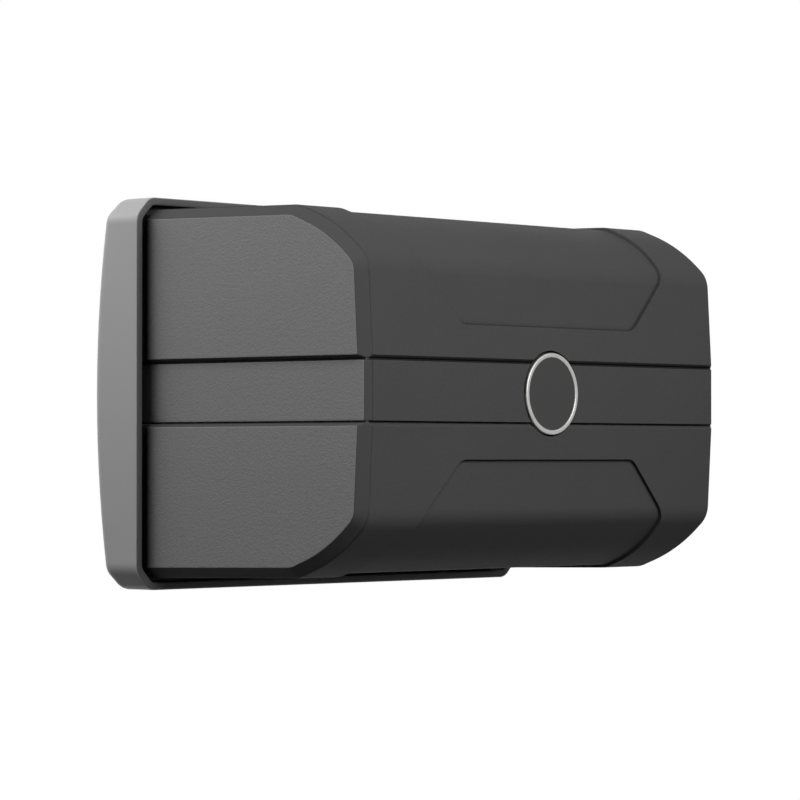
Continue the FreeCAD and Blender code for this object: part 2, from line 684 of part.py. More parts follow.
def front_bezel():
    """Crowned frame: cut corners, thin rim round the shadow gap, flange, window ledge."""
    body = prism_y(cut_corners(), BEZEL_BACK_Y, BEZEL_FRONT_Y + 5).common(crown(0))
    front = [edge for edge in body.Edges
             if edge.BoundBox.YMin > SHELL_FRONT_Y and edge.BoundBox.XLength + edge.BoundBox.ZLength > 1]
    body = body.makeFillet(BEZEL_FRONT_R, front)
    rear = [edge for edge in body.Edges if edge.BoundBox.YMax < BEZEL_BACK_Y + 1e-6]
    body = body.makeFillet(BEZEL_REAR_R, rear)
    entry = prism_y(cut_corners(BEZEL_RIM), BEZEL_BACK_Y - 1, SHELL_FRONT_Y)
    seat = WINDOW_SUNK + WINDOW_THICK + GASKET_THICK
    window_hole = rectangle(WINDOW_HALF_X, WINDOW_HALF_Z, WINDOW_CORNER_R)
    ledge_hole = rectangle(WINDOW_HALF_X - LEDGE_WIDTH, WINDOW_HALF_Z - LEDGE_WIDTH,
                           WINDOW_CORNER_R - LEDGE_WIDTH)
    rebate = prism_y(window_hole, FLANGE_FRONT_Y, BEZEL_FRONT_Y + 5).cut(crown(seat))
    through = prism_y(ledge_hole, FLANGE_FRONT_Y - 1, BEZEL_FRONT_Y + 5)
    hollow = prism_y(cut_corners(BEZEL_RIM), FLANGE_FRONT_Y, BEZEL_FRONT_Y).common(
        crown(seat + LEDGE_THICK))
    opening = prism_y(rectangle(FLANGE_HALF_X, FLANGE_HALF_Z, WINDOW_CORNER_R), SHELL_FRONT_Y - 1,
                      FLANGE_FRONT_Y + 1)
    holes = []
    for x, z in bezel_fixings():
        seat_point = vec(x, FLANGE_FRONT_Y, z)
        holes.append(rod(seat_point, -FORWARD, SCREW_HEAD_R + SLIP, SCREW_HEAD + PIN_SLIP))
        holes.append(screw_hole(seat_point, -FORWARD))
    return less(body, [entry, rebate, through, hollow, opening] + holes)


def sensor_window():
    """Crowned dark pane, just below the bezel's front."""
    corners = rectangle(WINDOW_HALF_X - SLIP, WINDOW_HALF_Z - SLIP, WINDOW_CORNER_R)
    return crowned_slab(corners, WINDOW_SUNK, WINDOW_SUNK + WINDOW_THICK)


def window_gasket():
    near = WINDOW_SUNK + WINDOW_THICK
    outer = rectangle(WINDOW_HALF_X - SLIP, WINDOW_HALF_Z - SLIP, WINDOW_CORNER_R)
    inner = rectangle(WINDOW_HALF_X - LEDGE_WIDTH, WINDOW_HALF_Z - LEDGE_WIDTH,
                      WINDOW_CORNER_R - LEDGE_WIDTH)
    hole = prism_y(inner, FLANGE_FRONT_Y - 1, BEZEL_FRONT_Y + 5)
    return crowned_slab(outer, near, near + GASKET_THICK).cut(hole)


def light_baffle():
    """Black plate on the bezel's flange, open for the two lenses and the two lamps."""
    plate = prism_y(rectangle(WINDOW_HALF_X, WINDOW_HALF_Z, WINDOW_CORNER_R), FLANGE_FRONT_Y,
                    FLANGE_FRONT_Y + BAFFLE_THICK)
    openings = []
    for side in (-1, 1):
        openings.append(rod(vec(side * CAMERA_X, FLANGE_FRONT_Y - 1, 0), FORWARD,
                            LENS_GRIP_R + BAFFLE_GAP, BAFFLE_THICK + 2))
        lamp = rectangle(LAMP_HALF_X - 1, LAMP_HALF_Z - 1, 4, (side * LAMP_X, 0))
        openings.append(prism_y(lamp, FLANGE_FRONT_Y - 1, FLANGE_FRONT_Y + BAFFLE_THICK + 1))
    return less(plate, openings)


def bezel_screws():
    seat_y = FLANGE_FRONT_Y - SCREW_HEAD
    return group([screw(vec(x, seat_y, z), -FORWARD) for x, z in bezel_fixings()])


def cap_screws():
    """Screws through the shell's tabs into the bosses of both side caps."""
    seat_x = CAP_X - CAP_BOSS - CAP_TAB
    right = [screw(vec(seat_x, y, z), ACROSS) for y, z in cap_fixings()]
    return group(right + [flip_x(piece) for piece in right])


# ---------------------------------------------------------------- ceiling mount

def mount_inserts():
    """Four flanged brass inserts with an M6 thread."""
    inserts = []
    for x, y in mount_points():
        seat = vec(x, MOUNT_Y + y, MOUNT_Z)
        body = rod(seat, -UP, INSERT_R, INSERT_LENGTH)
        flange = rod(seat, -UP, INSERT_FLANGE_R, INSERT_FLANGE)
        inserts.append(less(fused([body, flange]), rod(seat, -UP, INSERT_BORE_R, FAR)))
    return group(inserts)


# ---------------------------------------------------------------- chassis and boards

def chassis_plate():
    """Folded aluminium plate across the housing, with openings for wiring and air."""
    plate = prism_y(rectangle(CHASSIS_HALF_X, CHASSIS_HALF_Z, 8), CHASSIS_Y, CHASSIS_FRONT_Y)
    inner = FLANGE_HALF_Z - BEZEL_BOSS_R
    flange = block(CHASSIS_HALF_X - CHASSIS_THICK, CHASSIS_HALF_X, CHASSIS_Y,
                   CHASSIS_FRONT_Y + CHASSIS_FLANGE, -inner, inner)
    holes = [screw_hole(vec(x, CHASSIS_Y - 1, z), FORWARD) for x, z in chassis_fixings()]
    for x, _ in mount_points():
        holes.append(block(x - MOUNT_BOSS_R - CHASSIS_NOTCH, x + MOUNT_BOSS_R + CHASSIS_NOTCH,
                           CHASSIS_Y - 1, CHASSIS_FRONT_Y + 1, MOUNT_BOSS_BOTTOM_Z - CHASSIS_NOTCH, FAR))
    for z in (-CABLE_SLOT_Z, CABLE_SLOT_Z):
        slot = rectangle(CABLE_SLOT_HALF_WIDTH, CABLE_SLOT_HALF, CABLE_SLOT_HALF_WIDTH * 0.98, (0, z))
        holes.append(prism_y(slot, CHASSIS_Y - 1, CHASSIS_FRONT_Y + 1))
    return less(fused([plate, flange, flip_x(flange)]), holes)


def chassis_screws():
    return group([screw(vec(x, CHASSIS_FRONT_Y, z), -FORWARD) for x, z in chassis_fixings()])


def standoff_points(board):
    x0, x1, half = board
    return [(x, z) for x in (x0 + BOARD_EDGE, x1 - BOARD_EDGE)
            for z in (-half + BOARD_EDGE, half - BOARD_EDGE)]


def board(extent):
    x0, x1, half = extent
    middle = (x0 + x1) / 2
    blank = prism_y(rectangle((x1 - x0) / 2, half, 3, (middle, 0)), BOARD_REAR_Y,
                    BOARD_REAR_Y + BOARD_THICK)
    return less(blank, [screw_hole(vec(x, BOARD_REAR_Y - 1, z), FORWARD)
                        for x, z in standoff_points(extent)])


def board_standoffs():
    """Standoffs from the chassis to the main and the driver board."""
    posts = []
    for x, z in standoff_points(MAIN_BOARD) + standoff_points(DRIVER_BOARD):
        start = vec(x, BOARD_REAR_Y + BOARD_THICK, z)
        posts.append(ring(start, FORWARD, STANDOFF_R, SCREW_R + PIN_SLIP, STANDOFF))
    return group(posts)


def board_screws():
    points = standoff_points(MAIN_BOARD) + standoff_points(DRIVER_BOARD)
    return group([screw(vec(x, BOARD_REAR_Y, z), FORWARD) for x, z in points])


def processor():
    half = CHIP / 2
    return block(CHIP_X - half, CHIP_X + half, BOARD_REAR_Y - CHIP_THICK, BOARD_REAR_Y, -half, half)


def heat_sink():
    """Finned aluminium block on the processor, fins upright in the air flow."""
    half = SINK_SIZE / 2
    base_y = BOARD_REAR_Y - CHIP_THICK
    pieces = [block(CHIP_X - half, CHIP_X + half, base_y - SINK_BASE, base_y, -half, half)]
    pitch = (SINK_SIZE - FIN_THICK) / (SINK_FINS - 1)
    for index in range(SINK_FINS):
        x = CHIP_X - half + pitch * index
        pieces.append(block(x, x + FIN_THICK, base_y - SINK_DEPTH, base_y - SINK_BASE, -half, half))
    return fused(pieces)


def memory_chips():
    """Memory packages beside the processor."""
    chips = []
    half_x = MEMORY_WIDTH / 2
    half_z = MEMORY_HEIGHT / 2
    for row in range(MEMORY_COUNT):
        z = MEMORY_PITCH * (row - (MEMORY_COUNT - 1) / 2)
        chips.append(block(MEMORY_X - half_x, MEMORY_X + half_x, BOARD_REAR_Y - MEMORY_THICK,
                           BOARD_REAR_Y, z - half_z, z + half_z))
    return group(chips)


def strobe_capacitors():
    """The store that the strobe lamps draw their pulses from."""
    x0, x1, _ = DRIVER_BOARD
    middle = (x0 + x1) / 2
    cans = []
    for column in (-1, 1):
        for row in (-1, 0, 1):
            x = middle + column * CAPACITOR_PITCH_X / 2
            start = vec(x, BOARD_REAR_Y, row * CAPACITOR_PITCH_Z)
            cans.append(rod(start, -FORWARD, CAPACITOR_R, CAPACITOR_LENGTH))
    return group(cans)


# ---------------------------------------------------------------- cameras

def camera_bracket():
    """L bracket of the camera at +X, on the chassis."""
    half = CAMERA_SIZE / 2
    back = prism_y(rectangle(half, half + BRACKET_THICK, 3, (CAMERA_X, 0)), CHASSIS_FRONT_Y,
                   CHASSIS_FRONT_Y + BRACKET_THICK)
    shelf = block(CAMERA_X - half, CAMERA_X + half, CHASSIS_FRONT_Y,
                  CHASSIS_FRONT_Y + BRACKET_THICK + CAMERA_DEPTH, -half - BRACKET_THICK, -half)
    return fused([back, shelf])


def camera_board():
    y = CHASSIS_FRONT_Y + BRACKET_THICK
    half = CAMERA_SIZE / 2 - 1
    return prism_y(rectangle(half, half, 2, (CAMERA_X, 0)), y, y + BOARD_THICK)


def camera_body():
    """Camera housing with grooved sides and a round lens seat."""
    y = CHASSIS_FRONT_Y + BRACKET_THICK + BOARD_THICK
    half = CAMERA_SIZE / 2
    front = CHASSIS_FRONT_Y + BRACKET_THICK + CAMERA_DEPTH
    body = prism_y(rectangle(half, half, 3, (CAMERA_X, 0)), y, front)
    grooves = []
    for index in range(4):
        start = y + 3 + 4 * index
        for side in (-1, 1):
            edge = CAMERA_X + side * half
            grooves.append(block(edge - 1.5, edge + 1.5, start, start + 2, -half + 5, half - 5))
    return less(body, grooves)


def lens_barrel():
    """Lens barrel turned as one profile, with a grip ring and a hood."""
    y = CHASSIS_FRONT_Y + BRACKET_THICK + CAMERA_DEPTH
    end = y + LENS_LENGTH
    hood = LENS_GLASS_R + 1.5
    profile = [(0, y), (LENS_R, y), (LENS_R, y + 4), (LENS_GRIP_R, y + 5), (LENS_GRIP_R, y + 11),
               (LENS_R, y + 12), (LENS_R, end), (hood, end),
               (LENS_GLASS_R, end - LENS_GLASS_SUNK), (LENS_GLASS_R, end - 3 * LENS_GLASS_SUNK),
               (0, end - 3 * LENS_GLASS_SUNK)]
    points = [vec(CAMERA_X + radius, along, 0) for radius, along in profile]
    face = Part.Face(Part.makePolygon(points + points[:1]))
    return face.revolve(vec(CAMERA_X, 0, 0), FORWARD, 360)


def lens_glass():
    """Front element: a disc with a crowned face."""
    seat = CHASSIS_FRONT_Y + BRACKET_THICK + CAMERA_DEPTH + LENS_LENGTH - 3 * LENS_GLASS_SUNK
    disc = rod(vec(CAMERA_X, seat, 0), FORWARD, LENS_GLASS_R, 2 * LENS_GLASS_SUNK)
    ball_y = seat + 2 * LENS_GLASS_SUNK - LENS_GLASS_CROWN_R
    return disc.common(Part.makeSphere(LENS_GLASS_CROWN_R, vec(CAMERA_X, ball_y, 0)))


# ---------------------------------------------------------------- strobe lamps

def lamp_heat_sink():
    """Extruded carrier of the lamp at +X: a base with fins back to the chassis."""
    base_y = LAMP_FRONT_Y - BOARD_THICK - LAMP_BASE
    pieces = [block(LAMP_X - LAMP_HALF_X, LAMP_X + LAMP_HALF_X, base_y, base_y + LAMP_BASE,
                    -LAMP_HALF_Z, LAMP_HALF_Z)]
    pitch = (2 * LAMP_HALF_X - FIN_THICK) / (LAMP_FINS - 1)
    for index in range(LAMP_FINS):
        x = LAMP_X - LAMP_HALF_X + pitch * index
        pieces.append(block(x, x + FIN_THICK, CHASSIS_FRONT_Y, base_y, -LAMP_HALF_Z, LAMP_HALF_Z))
    return fused(pieces)


def lamp_board():
    return prism_y(rectangle(LAMP_HALF_X, LAMP_HALF_Z, 2, (LAMP_X, 0)), LAMP_FRONT_Y - BOARD_THICK,
                   LAMP_FRONT_Y)


def lamp_leds():
    """Infrared emitters in rows, each a short dome."""
    leds = []
    for column in range(LED_COLUMNS):
        x = LAMP_X + LED_PITCH_X * (column - (LED_COLUMNS - 1) / 2)
        for row in range(LED_ROWS):
            z = LED_PITCH_Z * (row - (LED_ROWS - 1) / 2)
            leds.append(Part.makeCone(LED_R, LED_R * 0.6, LED_HEIGHT, vec(x, LAMP_FRONT_Y, z), FORWARD))
    return group(leds)


# ---------------------------------------------------------------- fans

def fan_frame(x):
    """Square frame with a duct, corner holes and a strut wheel that holds the bearing."""
    top = FAN_SEAT_Z
    bottom = top - FAN_THICK
    half = FAN_SIZE / 2
    frame = prism_z(rectangle(half, half, 4, (x, BAY_Y)), bottom, top)
    duct = rod(vec(x, BAY_Y, bottom), UP, FAN_BLADE_R + TIP_GAP, FAN_THICK)
    frame = frame.cut(duct)
    waist = []
    for u, v in ((1, 0), (-1, 0), (0, 1), (0, -1)):
        centre = vec(x + u * half, BAY_Y + v * half, 0)
        reach = half * 0.55
        waist.append(block(centre.x - (2 if u else reach), centre.x + (2 if u else reach),
                           centre.y - (2 if v else reach), centre.y + (2 if v else reach),
                           bottom + 3, top - 3))
    frame = frame.cut(waist)
    hub = rod(vec(x, BAY_Y, bottom), UP, FAN_HUB_R, FAN_BACK)
    post = rod(vec(x, BAY_Y, bottom), UP, FAN_SHAFT_R + 2.5, FAN_THICK * 0.6)
    reach = FAN_BLADE_R + TIP_GAP + 1
    struts = []
    for index in range(4):
        strut = block(x, x + reach, BAY_Y - FAN_STRUT / 2, BAY_Y + FAN_STRUT / 2, bottom,
                      bottom + FAN_BACK)
        strut.rotate(vec(x, BAY_Y, 0), UP, 45 + 90 * index)
        struts.append(strut)
    whole = fused([frame, hub, post] + struts)
    bore = rod(vec(x, BAY_Y, bottom + 1), UP, FAN_SHAFT_R + RUNNING_FIT, FAN_THICK)
    holes = [rod(vec(x + u, BAY_Y + v, bottom - 1), UP, SCREW_R + PIN_SLIP, FAN_THICK + 2)
             for u, v in fan_corners()]
    return less(whole, [bore] + holes)


def fan_blade():
    """One twisted blade along +X, drawn between a steep root and a flatter tip."""
    sections = []
    half_rise = FAN_BLADE_RISE / 2
    ends = ((FAN_HUB_R * 0.88, FAN_ROOT_PITCH), (FAN_BLADE_R + 1, FAN_TIP_PITCH))
    for radius, pitch in ends:
        angle = math.radians(pitch)
        along = vec(0, half_rise / math.tan(angle), half_rise)
        thick = vec(0, -math.sin(angle), math.cos(angle)) * (FAN_BLADE_THICK / 2)
        corners = [along + thick, along - thick, -along - thick, -along + thick]
        corners = [corner + vec(radius, 0, 0) for corner in corners]
        sections.append(Part.makePolygon(corners + corners[:1]))
    return Part.makeLoft(sections, True, True)


def fan_rotor(x):
    """Hub cup with a shaft and seven twisted blades."""
    bottom = FAN_SEAT_Z - FAN_THICK
    cup_bottom = bottom + FAN_BACK + 0.5
    cup_height = FAN_THICK - FAN_BACK - 1.0
    centre = vec(x, BAY_Y, cup_bottom)
    cup = rod(centre, UP, FAN_HUB_R, cup_height)
    well = rod(centre, UP, FAN_SHAFT_R + 3.5, FAN_THICK * 0.6 - FAN_BACK + 0.3)
    shaft_start = vec(x, BAY_Y, bottom + 1.5)
    shaft = rod(shaft_start, UP, FAN_SHAFT_R, cup_bottom + cup_height - shaft_start.z)
    blades = []
    for index in range(FAN_BLADES):
        blade = fan_blade()
        blade.rotate(vec(0, 0, 0), UP, 360 / FAN_BLADES * index)
        blade.translate(vec(x, BAY_Y, cup_bottom + cup_height / 2))
        blades.append(blade)
    duct = rod(centre, UP, FAN_BLADE_R, cup_height)
    wheel = cup.fuse(blades).common(duct)
    return fused([wheel.cut(well), shaft])


def fan_screws():
    """Long screws through the corners of both fans into their bosses."""
    length = FAN_THICK + 1.2
    upper = [screw(vec(-BAY_X + u, BAY_Y + v, FAN_SEAT_Z - FAN_THICK), UP, length)
             for u, v in fan_corners()]
    return group(upper + [half_turn(piece) for piece in upper])


# ---------------------------------------------------------------- ports and button

def port_board():
    board_corners = rectangle(PORT_BOARD_HALF_X, PORT_BOARD_HALF_Y, 2, (BAY_X, BAY_Y))
    blank = prism_z(board_corners, PORT_BOARD_Z, PORT_DECK_Z)
    return less(blank, [screw_hole(vec(x, y, PORT_BOARD_Z - 1), UP) for x, y in port_posts()])


def port_screws():
    return group([screw(vec(x, y, PORT_BOARD_Z), UP) for x, y in port_posts()])


def network_jack():
    """Upright eight-way network jack with its latch notch."""
    body = block(JACK_X - JACK_WIDTH / 2, JACK_X + JACK_WIDTH / 2, BAY_Y - JACK_DEPTH / 2,
                 BAY_Y + JACK_DEPTH / 2, PORT_DECK_Z, PORT_TOP_Z)
    floor = PORT_TOP_Z - JACK_CAVITY
    mouth = block(JACK_X - JACK_MOUTH_WIDTH / 2, JACK_X + JACK_MOUTH_WIDTH / 2,
                  BAY_Y - JACK_MOUTH_DEPTH / 2, BAY_Y + JACK_MOUTH_DEPTH / 2, floor, FAR)
    latch = block(JACK_X - JACK_LATCH_WIDTH / 2, JACK_X + JACK_LATCH_WIDTH / 2,
                  BAY_Y + JACK_MOUTH_DEPTH / 2, BAY_Y + JACK_MOUTH_DEPTH / 2 + JACK_LATCH_DEPTH,
                  floor, FAR)
    return less(body, [mouth, latch])


def power_inlet():
    """Upright low-voltage inlet: square body, round collar, bore with its centre pin."""
    half = INLET_BODY / 2
    body = block(INLET_X - half, INLET_X + half, INLET_Y - half, INLET_Y + half, PORT_DECK_Z,
                 INLET_BODY_TOP_Z)
    collar = rod(vec(INLET_X, INLET_Y, PORT_DECK_Z), UP, INLET_R, PORT_TOP_Z - PORT_DECK_Z)
    floor = vec(INLET_X, INLET_Y, PORT_TOP_Z - INLET_BORE)
    bore = rod(floor, UP, INLET_BORE_R, FAR)
    pin = rod(floor - UP, UP, INLET_PIN_R, INLET_BORE - 1)
    return fused([less(fused([body, collar]), bore), pin])


def button_switch():
    """Push switch under the power button."""
    half = SWITCH_SIZE / 2
    body = block(BUTTON_X - half, BUTTON_X + half, BUTTON_Y - half, BUTTON_Y + half, PORT_DECK_Z,
                 SWITCH_TOP_Z)
    plunger = rod(vec(BUTTON_X, BUTTON_Y, SWITCH_TOP_Z), UP, BUTTON_STEM_R, SWITCH_PLUNGER)
    return fused([body, plunger])


def power_button():
    """Round cap with a skirt that keeps it under the top wall, and a stem to the switch."""
    skirt_top = top_z(BUTTON_Y - BUTTON_SKIRT_R) - WALL - SLIP
    stem_bottom = SWITCH_TOP_Z + SWITCH_PLUNGER + BUTTON_TRAVEL + BUTTON_SPARE
    cap = rod(vec(BUTTON_X, BUTTON_Y, skirt_top), UP, BUTTON_R, BUTTON_TOP_Z - skirt_top)
    rim = [edge for edge in cap.Edges if edge.BoundBox.ZMin > BUTTON_TOP_Z - 1e-6]
    cap = cap.makeFillet(0.6, rim)
    skirt = rod(vec(BUTTON_X, BUTTON_Y, skirt_top - BUTTON_SKIRT), UP, BUTTON_SKIRT_R, BUTTON_SKIRT)
    stem = rod(vec(BUTTON_X, BUTTON_Y, stem_bottom), UP, BUTTON_STEM_R, skirt_top - stem_bottom)
    return fused([cap, skirt, stem])


# ---------------------------------------------------------------- assembly

def pieces():
    """Every node's name and its shape, in housing coordinates."""
    bar = finished_bar()
    right_cap = side_cap(bar)
    nodes = {
        "rear_shell": rear_shell(bar),
        "right_side_cap": right_cap,
        "left_side_cap": flip_x(right_cap),
        "cap_screws": cap_screws(),
        "badge_ring": badge_ring(),
        "badge_disc": badge_disc(),
        "front_bezel": front_bezel(),
        "bezel_screws": bezel_screws(),
        "sensor_window": sensor_window(),
        "window_gasket": window_gasket(),
        "light_baffle": light_baffle(),
        "mount_inserts": mount_inserts(),
        "chassis_plate": chassis_plate(),
        "chassis_screws": chassis_screws(),
        "main_board": board(MAIN_BOARD),
        "driver_board": board(DRIVER_BOARD),
        "board_standoffs": board_standoffs(),
        "board_screws": board_screws(),
        "processor": processor(),
        "memory_chips": memory_chips(),
        "heat_sink": heat_sink(),
        "strobe_capacitors": strobe_capacitors(),
        "fan_screws": fan_screws(),
        "port_board": port_board(),
        "port_screws": port_screws(),
        "network_jack": network_jack(),
        "power_inlet": power_inlet(),
        "button_switch": button_switch(),
        "power_button": power_button(),
        "exhaust_fan_frame": fan_frame(-BAY_X),
        "exhaust_fan_rotor": fan_rotor(-BAY_X),
        "intake_fan_frame": half_turn(fan_frame(-BAY_X)),
        "intake_fan_rotor": half_turn(fan_rotor(-BAY_X)),
    }
    paired = {"camera_bracket": camera_bracket, "camera_board": camera_board,
              "camera_body": camera_body, "lens_barrel": lens_barrel, "lens_glass": lens_glass,
              "lamp_heat_sink": lamp_heat_sink, "lamp_board": lamp_board, "lamp_leds": lamp_leds}
    for name, make in paired.items():
        shape = make()
        nodes["right_" + name] = shape
        nodes["left_" + name] = flip_x(shape)
    return nodes


def export(nodes):
    """Write one STEP file per node, with the origin at the ceiling mount."""
    os.makedirs("parts", exist_ok=True)
    for name, shape in sorted(nodes.items()):
        placed = shape.copy()
        placed.translate(vec(0, -MOUNT_Y, -MOUNT_Z))
        placed.exportStep("parts/" + name + ".step")
        box = placed.BoundBox
        print(name, "solids", len(placed.Solids), "valid", placed.isValid(),
              "volume %.1f" % placed.Volume,
              "x %.1f..%.1f y %.1f..%.1f z %.1f..%.1f" % (box.XMin, box.XMax, box.YMin, box.YMax,
                                                          box.ZMin, box.ZMax))


export(pieces())
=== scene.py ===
"""Launch monitor for a golf simulator: finishes, trim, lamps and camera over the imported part."""

import logging
import math
from dataclasses import dataclass, field
from enum import Enum
from functools import cache
from typing import ClassVar

import bmesh
import bpy
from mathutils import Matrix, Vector


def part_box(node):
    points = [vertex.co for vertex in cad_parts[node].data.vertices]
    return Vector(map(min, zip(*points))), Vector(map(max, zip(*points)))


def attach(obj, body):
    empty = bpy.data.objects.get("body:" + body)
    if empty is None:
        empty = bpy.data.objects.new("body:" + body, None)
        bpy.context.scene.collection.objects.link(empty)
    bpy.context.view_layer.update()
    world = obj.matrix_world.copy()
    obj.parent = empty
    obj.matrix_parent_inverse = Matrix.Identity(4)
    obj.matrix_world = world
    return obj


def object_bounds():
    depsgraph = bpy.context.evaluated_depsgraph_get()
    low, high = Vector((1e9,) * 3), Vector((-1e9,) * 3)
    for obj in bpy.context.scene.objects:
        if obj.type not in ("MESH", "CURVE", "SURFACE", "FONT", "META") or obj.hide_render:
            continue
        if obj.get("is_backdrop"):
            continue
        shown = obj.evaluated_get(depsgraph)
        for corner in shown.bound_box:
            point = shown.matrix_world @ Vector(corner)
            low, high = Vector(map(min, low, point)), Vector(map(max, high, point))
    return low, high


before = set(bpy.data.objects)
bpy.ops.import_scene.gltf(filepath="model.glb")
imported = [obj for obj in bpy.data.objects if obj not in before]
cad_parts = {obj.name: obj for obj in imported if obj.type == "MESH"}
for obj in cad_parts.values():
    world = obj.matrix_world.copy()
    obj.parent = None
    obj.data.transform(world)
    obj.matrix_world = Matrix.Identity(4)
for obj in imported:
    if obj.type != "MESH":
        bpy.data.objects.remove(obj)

log = logging.getLogger("launch_monitor")

Colour = tuple[float, float, float]
Point = tuple[float, float, float]
Socket = bpy.types.NodeSocket

MM = 0.001


# ---------------------------------------------------------------- places on the unit


@dataclass(frozen=True)
class Datum:
    """Where the housing's own zero lies in the row frame, in metres.

    The housing is drawn from its rear face and its badge, while the row frame starts at the
    ceiling mount.

    Attributes:
        mount_y: The mount's distance in front of the rear face.
        mount_z: Its height over the badge's centre, which is the lens axes' height too.
        lens_x: How far each lens axis stands from the middle.
    """

    mount_y: float = 118.0 * MM
    mount_z: float = 107.93085 * MM
    lens_x: float = 112.0 * MM

    @property
    def badge(self) -> Point:
        """The badge's centre on the rear face, in the row frame."""
        return 0.0, -self.mount_y, -self.mount_z


DATUM = Datum()


# ---------------------------------------------------------------- node trees


class NodeSheet:
    """A node tree being filled in, with short ways to add and join nodes."""

    def __init__(self, tree: bpy.types.NodeTree) -> None:
        """Start on an empty tree.

        Args:
            tree: The tree of a material, a world or a node group.
        """
        self.tree = tree
        self.column = 0
        tree.nodes.clear()

    def add(self, kind: str, **settings: object) -> bpy.types.Node:
        """Add a node and set its properties.

        Args:
            kind: The node's type, such as "ShaderNodeMath".
            settings: Properties of the node by name.

        Returns:
            The new node.
        """
        node = self.tree.nodes.new(kind)
        node.location = (180 * self.column, -40 * (self.column % 7))
        self.column += 1
        for name, value in settings.items():
            setattr(node, name, value)
        return node

    def join(self, source: Socket, target: Socket) -> None:
        """Link an output to an input."""
        self.tree.links.new(source, target)

    def feed(self, target: Socket, value: object) -> None:
        """Give an input a link or a constant.

        Args:
            target: The input socket.
            value: An output socket, or a number, colour or vector.
        """
        if isinstance(value, Socket):
            self.join(value, target)
        else:
            target.default_value = value

    def math(self, operation: str, first: object, second: object = 0.0,
             clamp: bool = False) -> Socket:
        """Add a Math node.

        Args:
            operation: The operation's name.
            first: Socket or number.
            second: Socket or number.
            clamp: Keep the result between 0 and 1.

        Returns:
            The result's socket.
        """
        node = self.add("ShaderNodeMath", operation=operation, use_clamp=clamp)
        self.feed(node.inputs[0], first)
        self.feed(node.inputs[1], second)
        return node.outputs[0]

    def times(self, first: object, second: object) -> Socket:
        """Multiply two sockets or numbers."""
        return self.math("MULTIPLY", first, second)

    def vector(self, operation: str, first: object, second: object = (0.0, 0.0, 0.0),
               scale: object = 1.0) -> bpy.types.Node:
        """Add a Vector Math node.

        Args:
            operation: The operation's name.
            first: Socket or vector.
            second: Socket or vector.
            scale: Socket or number, for the SCALE operation.

        Returns:
            The node, with its vector in outputs[0] and its value in outputs[1].
        """
        node = self.add("ShaderNodeVectorMath", operation=operation)
        self.feed(node.inputs[0], first)
        if operation == "SCALE":
            self.feed(node.inputs["Scale"], scale)
        else:
            self.feed(node.inputs[1], second)
        return node

    def spread(self, value: object, low: float, high: float, to_low: float = 0.0,
               to_high: float = 1.0, smooth: bool = False) -> Socket:
        """Map a range on to another one, clamped.

        Args:
            value: Socket or number.
            low: Value that gives to_low.
            high: Value that gives to_high.
            to_low: Result at the low end.
            to_high: Result at the high end.
            smooth: Ease in and out between the ends.

        Returns:
            The result's socket.
        """
        node = self.add("ShaderNodeMapRange", clamp=True,
                        interpolation_type="SMOOTHSTEP" if smooth else "LINEAR")
        self.feed(node.inputs["Value"], value)
        node.inputs["From Min"].default_value = low
        node.inputs["From Max"].default_value = high
        node.inputs["To Min"].default_value = to_low
        node.inputs["To Max"].default_value = to_high
        return node.outputs[0]

    def blend(self, factor: object, first: object, second: object) -> Socket:
        """Mix two colours.

        Args:
            factor: Socket or number, 0 for the first colour.
            first: Socket or colour.
            second: Socket or colour.

        Returns:
            The mixed colour's socket.
        """
        node = self.add("ShaderNodeMix", data_type="RGBA")
        self.feed(node.inputs[0], factor)
        for socket, value in ((node.inputs[6], first), (node.inputs[7], second)):
            self.feed(socket, value if isinstance(value, Socket) else rgba(value))
        return node.outputs[2]

    def noise(self, vector: object, scale: float, detail: float = 3.0,
              roughness: float = 0.5) -> Socket:
        """Add a Noise Texture.

        Args:
            vector: Socket of the position.
            scale: Features per metre.
            detail: Octaves.
            roughness: How strong the finer octaves are.

        Returns:
            The noise value's socket.
        """
        node = self.add("ShaderNodeTexNoise")
        self.feed(node.inputs["Vector"], vector)
        node.inputs["Scale"].default_value = scale
        node.inputs["Detail"].default_value = detail
        node.inputs["Roughness"].default_value = roughness
        return node.outputs[0]

    def position(self) -> Socket:
        """Add the piece's own coordinates, which are the row frame's."""
        return self.add("ShaderNodeTexCoord").outputs["Object"]

    def facing(self, kind: str = "Normal") -> Socket:
        """Add the direction that the surface faces: its Normal, or its flat True Normal."""
        return self.add("ShaderNodeNewGeometry").outputs[kind]

    def axes(self, vector: Socket) -> list[Socket]:
        """Split a vector into its X, Y and Z."""
        apart = self.add("ShaderNodeSeparateXYZ")
        self.join(vector, apart.inputs[0])
        return list(apart.outputs)

    def polar(self, over: Socket,
              up: Socket) -> tuple[Socket, Socket]:
        """Turn two distances from an axis into a radius and an angle.

        Args:
            over: Socket of the sideways distance.
            up: Socket of the upward distance.

        Returns:
            Sockets of the radius and of the angle in radians.
        """
        squares = self.math("ADD", self.math("POWER", over, 2.0), self.math("POWER", up, 2.0))
        return self.math("SQRT", squares), self.math("ARCTAN2", up, over)

    def about_badge(self, here: Socket) -> tuple[Socket, Socket]:
        """Radius and angle about the badge's axis.

        Args:
            here: Socket of the position.

        Returns:
            Sockets of the radius in metres and of the angle in radians.
        """
        x, _, z = self.axes(self.vector("SUBTRACT", here, DATUM.badge).outputs[0])
        return self.polar(x, z)

    def about_lens(self) -> tuple[Socket, Socket]:
        """Radius and angle about the nearer of the two lens axes.

        Returns:
            Sockets of the radius in metres and of the angle in radians.
        """
        x, _, z = self.axes(self.position())
        over = self.math("SUBTRACT", self.math("ABSOLUTE", x), DATUM.lens_x)
        return self.polar(over, self.math("SUBTRACT", z, -DATUM.mount_z))


